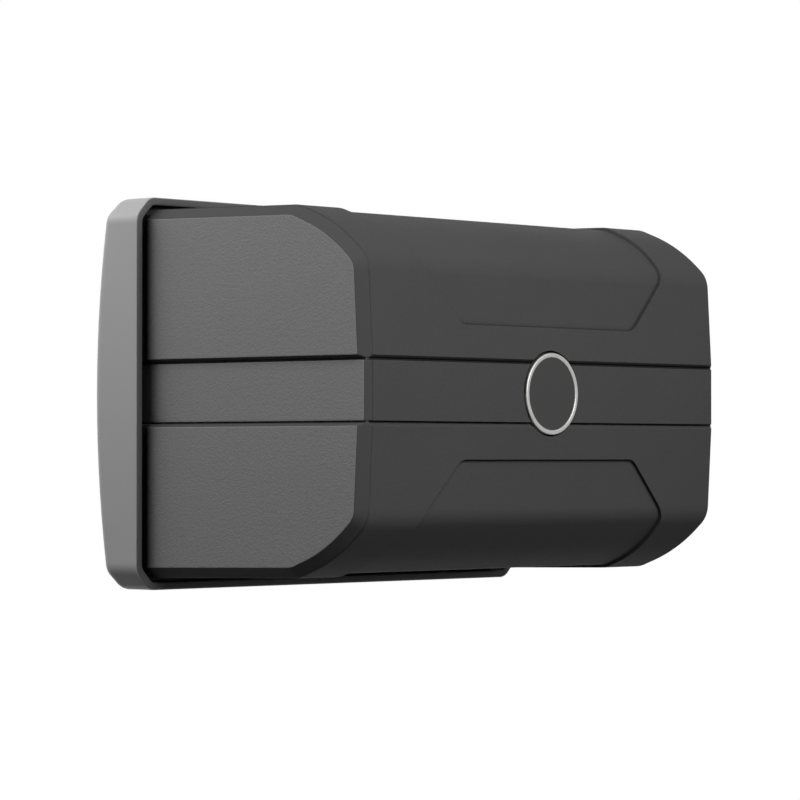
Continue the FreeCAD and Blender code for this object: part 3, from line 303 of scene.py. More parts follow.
def rgba(colour: Colour) -> tuple[float, float, float, float]:
    """Add a full alpha to a colour."""
    return (colour[0], colour[1], colour[2], 1.0)


def grey(value: float) -> Colour:
    """A neutral colour of that linear value."""
    return (value, value, value)


def lighter(colour: Colour, factor: float) -> Colour:
    """A colour times a factor, kept below 1."""
    return tuple(min(channel * factor, 1.0) for channel in colour)


# ---------------------------------------------------------------- shared effects


FLOAT, VECTOR = "NodeSocketFloat", "NodeSocketVector"


def start_effect(name: str, inputs: dict[str, float | None],
                 outputs: dict[str, str]) -> tuple[NodeSheet, bpy.types.Node, bpy.types.Node]:
    """Start a node group that several finishes share.

    Args:
        name: The group's name.
        inputs: The default of each number by name, or None where the input is a vector.
        outputs: Socket type by name.

    Returns:
        The sheet to fill in, the group's input node and its output node.
    """
    tree = bpy.data.node_groups.new(name, "ShaderNodeTree")
    for label, default in inputs.items():
        kind = VECTOR if default is None else FLOAT
        socket = tree.interface.new_socket(name=label, in_out="INPUT", socket_type=kind)
        if default is not None:
            socket.default_value = default
    for label, kind in outputs.items():
        tree.interface.new_socket(name=label, in_out="OUTPUT", socket_type=kind)
    sheet = NodeSheet(tree)
    return sheet, sheet.add("NodeGroupInput"), sheet.add("NodeGroupOutput")


class Effects:
    """The shader node groups that several finishes share, each built once."""

    @staticmethod
    @cache
    def grain() -> bpy.types.NodeTree:
        """Spark-eroded mould grain: rounded pebbles with creases between them.

        Returns:
            A group that takes Vector and Cell, the pebble size in metres, and gives Height and
            Crease between 0 and 1.
        """
        sheet, given, out = start_effect("mould_grain", {"Vector": None, "Cell": 0.001},
                                         {"Height": FLOAT, "Crease": FLOAT})
        per_metre = sheet.math("DIVIDE", 1.0, given.outputs["Cell"])
        placed = sheet.vector("SCALE", given.outputs["Vector"], scale=per_metre).outputs[0]
        drift = sheet.add("ShaderNodeTexNoise")
        sheet.join(placed, drift.inputs["Vector"])
        drift.inputs["Scale"].default_value = 0.9
        drift.inputs["Detail"].default_value = 2.0
        centred = sheet.vector("SUBTRACT", drift.outputs["Color"], (0.5, 0.5, 0.5)).outputs[0]
        pushed = sheet.vector("SCALE", centred, scale=0.9).outputs[0]
        warped = sheet.vector("ADD", placed, pushed).outputs[0]
        pebbles = sheet.add("ShaderNodeTexVoronoi", feature="SMOOTH_F1")
        sheet.join(warped, pebbles.inputs["Vector"])
        pebbles.inputs["Scale"].default_value = 1.0
        pebbles.inputs["Smoothness"].default_value = 0.65
        domed = sheet.spread(pebbles.outputs["Distance"], 0.05, 0.75, 1.0, 0.0, smooth=True)
        fine = sheet.noise(placed, 2.6, 2.0, 0.6)
        height = sheet.math("ADD", sheet.times(domed, 0.75),
                            sheet.times(fine, 0.25))
        sheet.join(height, out.inputs["Height"])
        sheet.join(sheet.spread(domed, 0.45, 0.05, smooth=True), out.inputs["Crease"])
        return sheet.tree

    @staticmethod
    @cache
    def edges() -> bpy.types.NodeTree:
        """Edges that a mould or a cutter leaves slightly round, with a mask along them that
        lightens the colour: edge wear and a painted highlight.

        Returns:
            A group that takes Radius and Vector and gives the rounded Normal and the
            WearAndHighlight mask.
        """
        sheet, given, out = start_effect("edge_wear_and_highlight", {"Radius": 0.0005, "Vector": None},
                                         {"Normal": VECTOR, "WearAndHighlight": FLOAT})
        rounded = sheet.add("ShaderNodeBevel", samples=4)
        sheet.join(given.outputs["Radius"], rounded.inputs["Radius"])
        meet = sheet.vector("DOT_PRODUCT", rounded.outputs[0],
                            sheet.facing("True Normal")).outputs[1]
        # painted highlight and wear: the mask lies along rounded edges, where the finishes lighten
        # the colour
        mask = sheet.spread(sheet.math("SUBTRACT", 1.0, meet), 0.01, 0.16, smooth=True)
        broken = sheet.spread(sheet.noise(given.outputs["Vector"], 140.0, 3.0), 0.3, 0.62)
        uneven = sheet.math("ADD", sheet.times(broken, 0.7), 0.3)
        sheet.join(rounded.outputs[0], out.inputs["Normal"])
        sheet.join(sheet.math("MULTIPLY", mask, uneven, clamp=True), out.inputs["WearAndHighlight"])
        return sheet.tree

    @staticmethod
    @cache
    def dust() -> bpy.types.NodeTree:
        """Faint dust that settles on what faces up, and slow changes of tone in a moulding.

        Returns:
            A group that takes Vector and gives a Dust mask and a slow Tone between 0 and 1.
        """
        sheet, given, out = start_effect("settled_dust", {"Vector": None},
                                         {"Dust": FLOAT, "Tone": FLOAT})
        here = given.outputs["Vector"]
        up = sheet.vector("DOT_PRODUCT", sheet.facing(), (0.0, 0.0, 1.0)).outputs[1]
        lying = sheet.spread(up, 0.55, 1.0, smooth=True)
        specks = sheet.spread(sheet.noise(here, 900.0, 2.0), 0.5, 0.72)
        drifts = sheet.spread(sheet.noise(here, 28.0, 3.0), 0.35, 0.7)
        dust = sheet.times(lying, sheet.times(specks, drifts))
        sheet.join(dust, out.inputs["Dust"])
        sheet.join(sheet.noise(here, 16.0, 3.0, 0.55), out.inputs["Tone"])
        return sheet.tree

    @staticmethod
    @cache
    def crevice() -> bpy.types.NodeTree:
        """How open the surface lies, for painted shade: the finishes darken the colour in grooves,
        gaps and inner corners, but not on faces that look up, as if lit from above.

        Returns:
            A group that takes Reach in metres and gives Open, 0 deep in a gap and 1 on a free
            face or one that looks up.
        """
        sheet, given, out = start_effect("crevice_shade", {"Reach": 0.02}, {"Open": FLOAT})
        near = sheet.add("ShaderNodeAmbientOcclusion", samples=8)
        sheet.join(given.outputs["Reach"], near.inputs["Distance"])
        # faces that look up are kept clear of the painted shade, as if lit from above
        raised = sheet.spread(sheet.axes(sheet.facing())[2], 0.3, 0.8)
        free = sheet.spread(near.outputs["AO"], 0.32, 0.92, smooth=True)
        sheet.join(sheet.math("MAXIMUM", free, raised), out.inputs["Open"])
        return sheet.tree

    @staticmethod
    @cache
    def brushing() -> bpy.types.NodeTree:
        """Fine parallel or turned lines of a brushed or turned metal.

        Returns:
            A group that takes Across, a length in metres that runs across the lines, and Along,
            which runs with them, and gives Lines between 0 and 1.
        """
        sheet, given, out = start_effect("brushed_lines", {"Across": 0.0, "Along": 0.0},
                                         {"Lines": FLOAT})
        place = sheet.add("ShaderNodeCombineXYZ")
        sheet.join(sheet.times(given.outputs["Across"], 5200.0), place.inputs[0])
        sheet.join(sheet.times(given.outputs["Along"], 90.0), place.inputs[1])
        lines = sheet.noise(place.outputs[0], 1.0, 2.0, 0.65)
        sheet.join(sheet.spread(lines, 0.28, 0.72), out.inputs["Lines"])
        return sheet.tree


def use(sheet: NodeSheet, tree: bpy.types.NodeTree, **inputs: object) -> bpy.types.NodeOutputs:
    """Place a shared effect in a material.

    Args:
        sheet: The material's sheet.
        tree: The effect's group.
        inputs: Sockets or numbers by input name.

    Returns:
        The effect's outputs.
    """
    node = sheet.add("ShaderNodeGroup", node_tree=tree)
    for name, value in inputs.items():
        sheet.feed(node.inputs[name], value)
    return node.outputs


# ---------------------------------------------------------------- finishes


class Surface:
    """A material being made: its sheet and its Principled BSDF."""

    def __init__(self, finish: "Finish") -> None:
        """Start the material from a finish's plain values.

        Args:
            finish: The finish that the material is for.
        """
        self.finish = finish
        self.material = bpy.data.materials.new(finish.name)
        self.material.use_nodes = True
        self.material.diffuse_color = rgba(finish.colour)
        self.sheet = NodeSheet(self.material.node_tree)
        self.shader = self.sheet.add("ShaderNodeBsdfPrincipled")
        output = self.sheet.add("ShaderNodeOutputMaterial")
        self.sheet.join(self.shader.outputs[0], output.inputs["Surface"])
        self.set("Base Color", rgba(finish.colour))
        self.set("Roughness", finish.roughness)
        self.set("Specular IOR Level", finish.specular)

    def set(self, name: str, value: object) -> None:
        """Link a socket to an input of the shader, or give it a constant."""
        self.sheet.feed(self.shader.inputs[name], value)

    def paint(self, colour: object) -> None:
        """Give the shader its colour, a socket or a constant."""
        self.set("Base Color", colour)

    def edges(self, here: Socket, radius: float) -> bpy.types.NodeOutputs:
        """Round the edges by a radius in metres; gives their Normal and the WearAndHighlight mask,
        for wear and a painted highlight.
        """
        return use(self.sheet, Effects.edges(), Vector=here, Radius=radius)

    def shade(self, factor: float) -> Colour:
        """The finish's colour times a factor."""
        return lighter(self.finish.colour, factor)

    def mix(self, mask: Socket, share: float, first: object,
            second: object) -> Socket:
        """Lay a second colour over the first where a mask is, at most by a share.

        Args:
            mask: Socket between 0 and 1.
            share: How far the second colour covers at most.
            first: Socket or colour.
            second: Socket or colour.

        Returns:
            The mixed colour's socket.
        """
        return self.sheet.blend(self.sheet.times(mask, share), first, second)

    def roughen(self, mask: Socket, at_low: float, at_high: float,
                low: float = 0.0, high: float = 1.0) -> None:
        """Let the roughness follow a mask.

        Args:
            mask: Socket of the pattern.
            at_low: Added to the finish's roughness at the low end.
            at_high: Added to it at the high end.
            low: Value of the low end.
            high: Value of the high end.
        """
        base = self.finish.roughness
        self.set("Roughness", self.sheet.spread(mask, low, high, base + at_low, base + at_high))

    def coat(self, weight: float, roughness: float) -> None:
        """Put a clear coat over the surface."""
        self.set("Coat Weight", weight)
        self.set("Coat Roughness", roughness)

    def bump(self, height: Socket, depth: float,
             normal: Socket | None = None) -> None:
        """Raise the surface by a height pattern.

        Args:
            height: Pattern between 0 and 1.
            depth: Its height in metres.
            normal: A rounded normal under it, if there is one.
        """
        node = self.sheet.add("ShaderNodeBump")
        node.inputs["Strength"].default_value = 1.0
        node.inputs["Distance"].default_value = depth
        self.sheet.join(height, node.inputs["Height"])
        if normal is not None:
            self.sheet.join(normal, node.inputs["Normal"])
        self.set("Normal", node.outputs[0])


@dataclass(frozen=True)
class Finish:
    """What every finish has: a name, a colour and a roughness.

    Attributes:
        name: The material's name.
        colour: Linear base colour.
        roughness: Mean roughness.
        specular: Strength of the plain reflection.
    """

    name: str
    colour: Colour
    roughness: float
    specular: float = 0.3

    def material(self) -> bpy.types.Material:
        """Build the finish's material.

        Returns:
            The finished material.
        """
        surface = Surface(self)
        self.fill(surface, surface.sheet)
        return surface.material

    def fill(self, surface: Surface, sheet: NodeSheet) -> None:
        """Lay out the nodes; each finish has its own way.

        Args:
            surface: The material being made.
            sheet: Its sheet.
        """
        raise NotImplementedError(self.name)


@dataclass(frozen=True)
class GrainedPlastic(Finish):
    """A moulded plastic with a spark-eroded grain.

    Attributes:
        cell: Pebble size in metres.
        depth: Grain depth in metres.
        edge_radius: Radius of the moulded edges in metres.
        edge_light: How much brighter the edges are painted, a painted highlight broken up like
            wear.
        tone: How far the colour drifts over the moulding.
        painted_crease_shade: How much darker the grain's creases are painted, as painted shade.
        shade: Reach of the painted shade in gaps, grooves and next to walls, in metres.
        band: Colour of the smooth bands, where only faces square to X carry the grain.
    """

    cell: float = 0.0007
    depth: float = 0.00003
    edge_radius: float = 0.0005
    edge_light: float = 1.5
    tone: float = 0.06
    painted_crease_shade: float = 0.3
    shade: float = 0.008
    band: Colour | None = None

    def fill(self, surface: Surface, sheet: NodeSheet) -> None:
        """Lay out grain, tone, a painted highlight on the edges, dust, and painted shade in the
        creases, grooves and gaps.

        Args:
            surface: The material being made.
            sheet: Its sheet.
        """
        here = sheet.position()
        grain = use(sheet, Effects.grain(), Vector=here, Cell=self.cell)
        edges = surface.edges(here, self.edge_radius)
        dust = use(sheet, Effects.dust(), Vector=here)
        clear = use(sheet, Effects.crevice(), Reach=self.shade)["Open"]
        height, crease, wear_and_highlight = grain["Height"], grain["Crease"], edges["WearAndHighlight"]
        toned = sheet.blend(dust["Tone"], surface.shade(1.0 - self.tone),
                            surface.shade(1.0 + self.tone))
        if self.band is not None:
            across = sheet.math("ABSOLUTE", sheet.axes(sheet.facing("True Normal"))[0])
            flat = sheet.spread(across, 0.9, 0.99)
            height, crease, wear_and_highlight = (sheet.times(part, flat)
                                    for part in (height, crease, wear_and_highlight))
            toned = sheet.blend(flat, self.band, toned)
        # painted shade: the grain's creases are darkened
        crease_shaded = surface.mix(crease, self.painted_crease_shade, toned, surface.shade(0.55))
        # painted highlight: the colour is lightened along the rounded edges
        rubbed_and_highlit = surface.mix(wear_and_highlight, 0.6, crease_shaded, surface.shade(self.edge_light))
        dusted = surface.mix(dust["Dust"], 0.05, rubbed_and_highlit, (0.32, 0.31, 0.29))
        # painted shade: the colour darkens to a tenth in gaps, grooves and next to walls such as
        # the bezel's rim
        surface.paint(sheet.blend(clear, surface.shade(0.10), dusted))
        surface.roughen(grain["Height"], 0.07, -0.05)
        surface.bump(height, self.depth, edges["Normal"])


@dataclass(frozen=True)
class SatinPaint(Finish):
    """A sprayed satin coat with a faint orange peel and a painted highlight on its edges.

    Attributes:
        peel: Size of the orange peel's ripples in metres.
        depth: Their height in metres.
        edge_radius: Radius of the painted edges in metres.
        shade: Reach of the painted shade in gaps, in metres.
        bare: Colour of the faces square to -Y, darker than the rest of the coat.
    """

    peel: float = 0.0012
    depth: float = 0.000006
    edge_radius: float = 0.0018
    shade: float = 0.012
    bare: Colour = (0.10, 0.10, 0.10)

    def fill(self, surface: Surface, sheet: NodeSheet) -> None:
        """Lay out tone, flakes, a painted highlight on the edges, the darker faces square to -Y and
        painted shade in gaps.

        Args:
            surface: The material being made.
            sheet: Its sheet.
        """
        here = sheet.position()
        edges = surface.edges(here, self.edge_radius)
        dust = use(sheet, Effects.dust(), Vector=here)
        peel = sheet.noise(here, 1.0 / self.peel, 2.0)
        flake = sheet.noise(here, 5200.0, 1.0)
        toned = sheet.blend(dust["Tone"], surface.shade(0.96), surface.shade(1.04))
        flaked = sheet.blend(sheet.spread(flake, 0.55, 0.75, 0.0, 0.22), toned,
                             surface.shade(1.35))
        # painted highlight: the colour is lightened along the rounded edges
        rubbed_and_highlit = surface.mix(edges["WearAndHighlight"], 0.3, flaked, surface.shade(1.25))
        # darker on the faces square to -Y, changing softly over rounded edges; the mask goes by
        # facing direction only
        painted = sheet.spread(sheet.axes(sheet.facing())[1], -0.9, -0.45)
        coated = sheet.blend(painted, self.bare, rubbed_and_highlit)
        clear = use(sheet, Effects.crevice(), Reach=self.shade)["Open"]
        # painted shade: the colour darkens in gaps
        surface.paint(sheet.blend(clear, surface.shade(0.04), coated))
        surface.roughen(flake, -0.04, 0.05, 0.3, 0.7)
        surface.bump(peel, self.depth, edges["Normal"])


class Lay(Enum):
    """Which way the lines of a metal run."""

    ALONG_X = "along x"
    ALONG_Z = "along z"
    TURNED_BADGE = "turned about the badge"
    TUMBLED = "tumbled"


def tool_marks(sheet: NodeSheet, here: Socket, lay: Lay) -> Socket:
    """The marks that a tool leaves in a metal.

    Args:
        sheet: The material's sheet.
        here: Socket of the position.
        lay: Which way the marks run.

    Returns:
        The pattern's socket, between 0 and 1.
    """
    if lay is Lay.TUMBLED:
        return sheet.spread(sheet.noise(here, 2600.0, 3.0), 0.3, 0.7)
    if lay is Lay.TURNED_BADGE:
        across, angle = sheet.about_badge(here)
        along = sheet.times(angle, 0.02)
    else:
        x, y, z = sheet.axes(here)
        beside, along = (x, z) if lay is Lay.ALONG_Z else (z, x)
        across = sheet.math("ADD", y, beside)
    return use(sheet, Effects.brushing(), Across=across, Along=along)["Lines"]


@dataclass(frozen=True)
class WorkedMetal(Finish):
    """A metal, bare or coated, with the marks of its tool.

    Attributes:
        lay: Which way the marks run.
        depth: Their depth in metres.
        metallic: 1 for bare metal.
        edge_radius: Radius of its edges in metres.
        tones: The colour's factors in and between the marks.
        glints: What the marks add to the roughness, at least and at most.
        wear_and_highlight: How far the edges are lightened, as rubbed wear and a painted highlight.
    """

    lay: Lay = Lay.TUMBLED
    depth: float = 0.000003
    metallic: float = 1.0
    edge_radius: float = 0.0003
    tones: tuple[float, float] = (0.9, 1.06)
    glints: tuple[float, float] = (-0.05, 0.08)
    wear_and_highlight: float = 0.5

    def fill(self, surface: Surface, sheet: NodeSheet) -> None:
        """Lay out the tool's marks and the edges, lightened as wear and a painted highlight.

        Args:
            surface: The material being made.
            sheet: Its sheet.
        """
        here = sheet.position()
        edges = surface.edges(here, self.edge_radius)
        lines = tool_marks(sheet, here, self.lay)
        shade = sheet.blend(lines, *(surface.shade(tone) for tone in self.tones))
        # wear and painted highlight: the colour is lightened along the rounded edges
        rubbed_and_highlit = surface.mix(edges["WearAndHighlight"], self.wear_and_highlight, shade, surface.shade(1.2))
        surface.paint(rubbed_and_highlit)
        surface.set("Metallic", self.metallic)
        surface.roughen(lines, *self.glints)
        surface.bump(lines, self.depth, edges["Normal"])


@dataclass(frozen=True)
class SmokedGlass(Finish):
    """Tinted glass that shows little of what is behind it.

    Attributes:
        opacity: Share of the light that each face stops.
    """

    opacity: float = 0.45

    def fill(self, surface: Surface, sheet: NodeSheet) -> None:
        """Lay out the glass, with a trace of smear.

        Args:
            surface: The material being made.
            sheet: Its sheet.
        """
        here = sheet.position()
        smear = sheet.spread(sheet.noise(here, 22.0, 4.0, 0.6), 0.45, 0.75)
        streak = sheet.spread(sheet.noise(here, 700.0, 1.0), 0.45, 0.7)
        film = sheet.times(smear, streak)
        surface.roughen(film, 0.0, 0.09)
        surface.paint(surface.mix(film, 0.08, self.colour, grey(0.2)))
        surface.set("Alpha", self.opacity)


@dataclass(frozen=True)
class CoatedLens(Finish):
    """A camera's front lens: dark, with the anti-reflection coat's tints as a painted reflection,
    and painted shade in the rings of the mounts behind and in the pupil.

    Attributes:
        rim: Radius at which the painted tint of the coat is full, in metres.
        ring_wave: Radians of the inner mounts' ripple per metre of radius.
        pupil: Radius of the stop, in metres.
    """

    rim: float = 0.0125
    ring_wave: float = 3600.0
    pupil: float = 0.0034

    def fill(self, surface: Surface, sheet: NodeSheet) -> None:
        """Lay out the coat's painted tint, and the painted shade of the rings behind it and of the
        pupil.

        Args:
            surface: The material being made.
            sheet: Its sheet.
        """
        radius, _ = sheet.about_lens()
        rings = sheet.math("SINE", sheet.times(radius, self.ring_wave))
        ring = sheet.times(sheet.spread(rings, 0.2, 0.9, smooth=True),
                          sheet.spread(radius, 0.004, 0.0065))
        # painted reflection: the anti-reflection coat's tints, laid in the colour
        coat = sheet.blend(sheet.spread(radius, 0.0, self.rim), (0.030, 0.012, 0.055),
                           (0.008, 0.030, 0.034))
        # painted shade: the mounts behind the glass, as darker rings
        shade = surface.mix(ring, 0.5, coat, grey(0.004))
        # painted shade: the dark pupil
        inside = sheet.spread(radius, self.pupil, self.pupil + 0.0006, 1.0, 0.0)
        surface.paint(sheet.blend(inside, shade, grey(0.002)))
        surface.coat(1.0, 0.02)
        surface.roughen(ring, 0.0, 0.1)


@dataclass(frozen=True)
class KnurledBarrel(Finish):
    """A black anodised lens barrel with a straight knurl round its grip.

    Attributes:
        teeth: Grooves round the barrel.
        depth: Groove depth in metres.
        grip: Radius outside which the knurl lies, in metres.
        edge_radius: Radius of its edges in metres.
    """

    teeth: int = 60
    depth: float = 0.0002
    grip: float = 0.0172
    edge_radius: float = 0.0003

    def fill(self, surface: Surface, sheet: NodeSheet) -> None:
        """Lay out the knurl and the edges, lightened as wear and a painted highlight.

        Args:
            surface: The material being made.
            sheet: Its sheet.
        """
        radius, angle = sheet.about_lens()
        here = sheet.position()
        edges = surface.edges(here, self.edge_radius)
        wave = sheet.math("SINE", sheet.times(angle, float(self.teeth)))
        groove = sheet.times(sheet.spread(wave, -0.6, 0.6, smooth=True),
                            sheet.spread(radius, self.grip, self.grip + 0.0005))
        # wear and painted highlight: the colour is lightened along the rounded edges
        rubbed_and_highlit = surface.mix(edges["WearAndHighlight"], 0.6, self.colour, surface.shade(2.6))
        surface.paint(sheet.blend(groove, rubbed_and_highlit, surface.shade(1.3)))
        surface.roughen(sheet.noise(here, 3000.0), -0.05, 0.05, 0.3, 0.7)
        surface.bump(groove, self.depth, edges["Normal"])


@dataclass(frozen=True)
class CircuitBoard(Finish):
    """Solder mask over copper tracks, with gold pads.

    Attributes:
        pitch: Track grid in metres.
        relief: Height of tracks and pads in metres.
        gold: The pads' colour.
    """

    pitch: float = 0.0022
    relief: float = 0.00003
    gold: Colour = (0.62, 0.44, 0.16)

    def fill(self, surface: Surface, sheet: NodeSheet) -> None:
        """Lay out the tracks and the pads.

        Args:
            surface: The material being made.
            sheet: Its sheet.
        """
        grid = sheet.vector("SCALE", sheet.position(), scale=1.0 / self.pitch).outputs[0]
        cells = sheet.add("ShaderNodeTexVoronoi", distance="MANHATTAN")
        sheet.join(grid, cells.inputs["Vector"])
        cells.inputs["Scale"].default_value = 0.5
        bands = sheet.math("FRACT", sheet.times(cells.outputs["Distance"], 4.0))
        track = sheet.spread(sheet.math("ABSOLUTE", sheet.math("SUBTRACT", bands, 0.5)),
                             0.16, 0.24, 1.0, 0.0)
        dots = sheet.add("ShaderNodeTexVoronoi")
        sheet.join(grid, dots.inputs["Vector"])
        dots.inputs["Scale"].default_value = 0.45
        pad = sheet.spread(dots.outputs["Distance"], 0.16, 0.19, 1.0, 0.0)
        laid = surface.mix(track, 0.7, self.colour, surface.shade(2.4))
        surface.paint(sheet.blend(pad, laid, self.gold))
        surface.set("Metallic", pad)
        surface.roughen(track, 0.0, -0.08)
        surface.bump(sheet.math("MAXIMUM", track, pad), self.relief)


@dataclass(frozen=True)
class Emitter(Finish):
    """A clear-domed infrared emitter: a dark die on a bright cup under the dome.

    Attributes:
        pitch_x: Spacing of the emitters across, in metres.
        pitch_z: Spacing of the emitters up, in metres.
        lamp_x: How far each lamp's middle stands from the unit's middle, in metres.
        die: Half the die's width in metres.
        cup: Half the cup's width in metres.
    """

    pitch_x: float = 0.015
    pitch_z: float = 0.0195
    lamp_x: float = 0.045
    die: float = 0.0006
    cup: float = 0.0014

    def fill(self, surface: Surface, sheet: NodeSheet) -> None:
        """Lay out each dome's die and cup.

        Args:
            surface: The material being made.
            sheet: Its sheet.
        """
        x, _, z = sheet.axes(sheet.position())
        first_x = self.lamp_x - 1.5 * self.pitch_x
        from_first = sheet.math("SUBTRACT", sheet.math("ABSOLUTE", x), first_x)
        from_middle = sheet.math("ADD", z, DATUM.mount_z)
        offsets = []
        for distance, pitch in ((from_first, self.pitch_x), (from_middle, self.pitch_z)):
            place = sheet.math("DIVIDE", distance, pitch)
            rest = sheet.math("SUBTRACT", place, sheet.math("ROUND", place))
            offsets.append(sheet.math("ABSOLUTE", sheet.times(rest, pitch)))
        square = sheet.math("MAXIMUM", *offsets)
        die = sheet.spread(square, self.die, self.die + 0.0001, 1.0, 0.0)
        bright = sheet.blend(sheet.spread(square, self.cup, self.cup + 0.0005),
                             (0.62, 0.58, 0.46), self.colour)
        surface.paint(sheet.blend(die, bright, (0.02, 0.018, 0.02)))
        surface.coat(0.8, 0.05)
        surface.roughen(die, 0.0, 0.15)


@dataclass(frozen=True)
class SoftRubber(Finish):
    """A moulded rubber with a faint bloom.

    Attributes:
        relief: Height of its fine grain in metres.
    """

    relief: float = 0.00001

    def fill(self, surface: Surface, sheet: NodeSheet) -> None:
        """Lay out the bloom and the fine grain.

        Args:
            surface: The material being made.
            sheet: Its sheet.
        """
        here = sheet.position()
        bloom = sheet.spread(sheet.noise(here, 120.0, 4.0), 0.4, 0.75)
        surface.paint(surface.mix(bloom, 0.3, self.colour, surface.shade(2.0)))
        surface.roughen(bloom, 0.0, 0.1)
        surface.bump(sheet.noise(here, 3800.0, 2.0), self.relief)


class Finishes:
    """Every finish of the unit by name, each material built once."""

    rear_plastic = GrainedPlastic("rear_plastic", grey(0.066), 0.62, 0.02, cell=0.0009,
                                  depth=0.00004, edge_radius=0.0006, edge_light=1.05,
                                  painted_crease_shade=0.1, shade=0.006)
    side_plastic = GrainedPlastic("side_plastic", grey(0.224), 0.60, 0.03, cell=0.0013,
                                  depth=0.00014, edge_radius=0.0013, edge_light=1.6,
                                  tone=0.03, painted_crease_shade=0.10, shade=0.020,
                                  band=grey(0.070))
    bezel_paint = SatinPaint("bezel_paint", grey(0.375), 0.40, 0.12)
    badge_ring_metal = WorkedMetal("badge_ring_metal", (0.40, 0.40, 0.39), 0.46, 0.5,
                                   lay=Lay.TURNED_BADGE)
    badge_face = WorkedMetal("badge_face", grey(0.045), 0.5, 0.12, lay=Lay.TURNED_BADGE,
                             depth=0.000002, metallic=0.0, edge_radius=0.0004,
                             tones=(0.88, 1.1), glints=(-0.04, 0.06), wear_and_highlight=0.0)
    window_glass = SmokedGlass("window_glass", (0.010, 0.010, 0.012), 0.03, 0.5)
    gasket_rubber = SoftRubber("gasket_rubber", grey(0.018), 0.72, 0.3)
    inner_black = GrainedPlastic("inner_black", grey(0.020), 0.66, 0.25, cell=0.0006,
                                 depth=0.00002, edge_light=1.8)
    insert_brass = WorkedMetal("insert_brass", (0.72, 0.52, 0.22), 0.28, 0.5)
    screw_steel = WorkedMetal("screw_steel", (0.50, 0.50, 0.51), 0.30, 0.5)
    chassis_aluminium = WorkedMetal("chassis_aluminium", (0.62, 0.62, 0.63), 0.34, 0.5,
                                    lay=Lay.ALONG_X)
    bracket_aluminium = WorkedMetal("bracket_aluminium", (0.55, 0.55, 0.56), 0.36, 0.5,
                                    lay=Lay.ALONG_Z)
    circuit_board = CircuitBoard("circuit_board", (0.012, 0.060, 0.030), 0.34, 0.5)
    chip_black = GrainedPlastic("chip_black", grey(0.022), 0.48, 0.35, cell=0.0003,
                                depth=0.000008, edge_light=1.6)
    heat_sink_black = WorkedMetal("heat_sink_black", grey(0.035), 0.42, 0.5, lay=Lay.ALONG_Z,
                                  metallic=0.4)
    capacitor_sleeve = SoftRubber("capacitor_sleeve", (0.018, 0.020, 0.030), 0.32, 0.5)
    camera_black = GrainedPlastic("camera_black", grey(0.024), 0.5, 0.35, cell=0.0005,
                                  depth=0.00001, edge_light=2.4)
    lens_barrel = KnurledBarrel("lens_barrel", grey(0.018), 0.36, 0.5)
    lens_glass = CoatedLens("lens_glass", grey(0.01), 0.05, 0.6)
    emitter_resin = Emitter("emitter_resin", (0.34, 0.33, 0.28), 0.12, 0.6)
    fan_plastic = GrainedPlastic("fan_plastic", grey(0.026), 0.46, 0.35, cell=0.0008,
                                 depth=0.00001, edge_light=2.0)
    port_plastic = GrainedPlastic("port_plastic", grey(0.022), 0.45, 0.35, cell=0.0005,
                                  depth=0.00001, edge_light=1.8)
    button_plastic = GrainedPlastic("button_plastic", grey(0.034), 0.5, 0.35, cell=0.0005,
                                    depth=0.00001, edge_light=2.0)
    gold_contact = WorkedMetal("gold_contact", (0.85, 0.62, 0.25), 0.22, 0.5)
    printed_white = SoftRubber("printed_white", grey(0.55), 0.6, 0.3)

    @classmethod
    @cache
    def of(cls, name: str) -> bpy.types.Material:
        """The material of a finish, built the first time it is asked for."""
        return getattr(cls, name).material()


# ---------------------------------------------------------------- making and dressing pieces


def dress(node: str, finish: str) -> None:
    """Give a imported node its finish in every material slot.

    Args:
        node: The node's name.
        finish: The finish's name.
    """
    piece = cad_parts[node]
    material = Finishes.of(finish)
    if not piece.material_slots:
        piece.data.materials.append(material)
    for slot in piece.material_slots:
        slot.material = material
    log.info("%s: %s", node, finish)


def make_object(name: str, mesh: bmesh.types.BMesh) -> bpy.types.Object:
    """Turn a bmesh into an object of the scene.

    Args:
        name: The object's name.
        mesh: Its shape in the row frame, in metres; freed here.

    Returns:
        The new object.
    """
    data = bpy.data.meshes.new(name)
    mesh.to_mesh(data)
    mesh.free()
    made = bpy.data.objects.new(name, data)
    bpy.context.scene.collection.objects.link(made)
    return made


def add_piece(name: str, mesh: bmesh.types.BMesh, finish: str, body: str,
              smooth: bool = True) -> None:
    """Turn a bmesh into a piece that rides on a body.

    Args:
        name: The piece's name.
        mesh: Its shape in the row frame, in metres; freed here.
        finish: The finish's name.
        body: The body that carries it.
        smooth: Shade it smooth.
    """
    bmesh.ops.recalc_face_normals(mesh, faces=mesh.faces)
    piece = make_object(name, mesh)
    for face in piece.data.polygons:
        face.use_smooth = smooth
    piece.data.materials.append(Finishes.of(finish))
    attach(piece, body)
    log.info("%s: made, %d faces", name, len(piece.data.polygons))


def sweep(mesh: bmesh.types.BMesh, path: list[Vector], section: list[tuple[float, float]],
          sides: list[tuple[Vector, Vector]]) -> None:
    """Sweep a closed section along an open path and cap its ends.

    Args:
        mesh: The bmesh that receives the faces.
        path: Points of the path.
        section: The section's corners.
        sides: The two directions of the section at each point.
    """
    rings = [[mesh.verts.new(point + across * u + up * v) for u, v in section]
             for point, (across, up) in zip(path, sides)]
    for near, far in zip(rings, rings[1:]):
        for index in range(len(section)):
            after = (index + 1) % len(section)
            mesh.faces.new((near[index], near[after], far[after], far[index]))
    mesh.faces.new(list(reversed(rings[0])))
    mesh.faces.new(rings[-1])


def top_middle(low: Vector, high: Vector) -> Vector:
    """The middle of the top of a box, from its two corners."""
    return Vector(((low.x + high.x) / 2, (low.y + high.y) / 2, high.z))


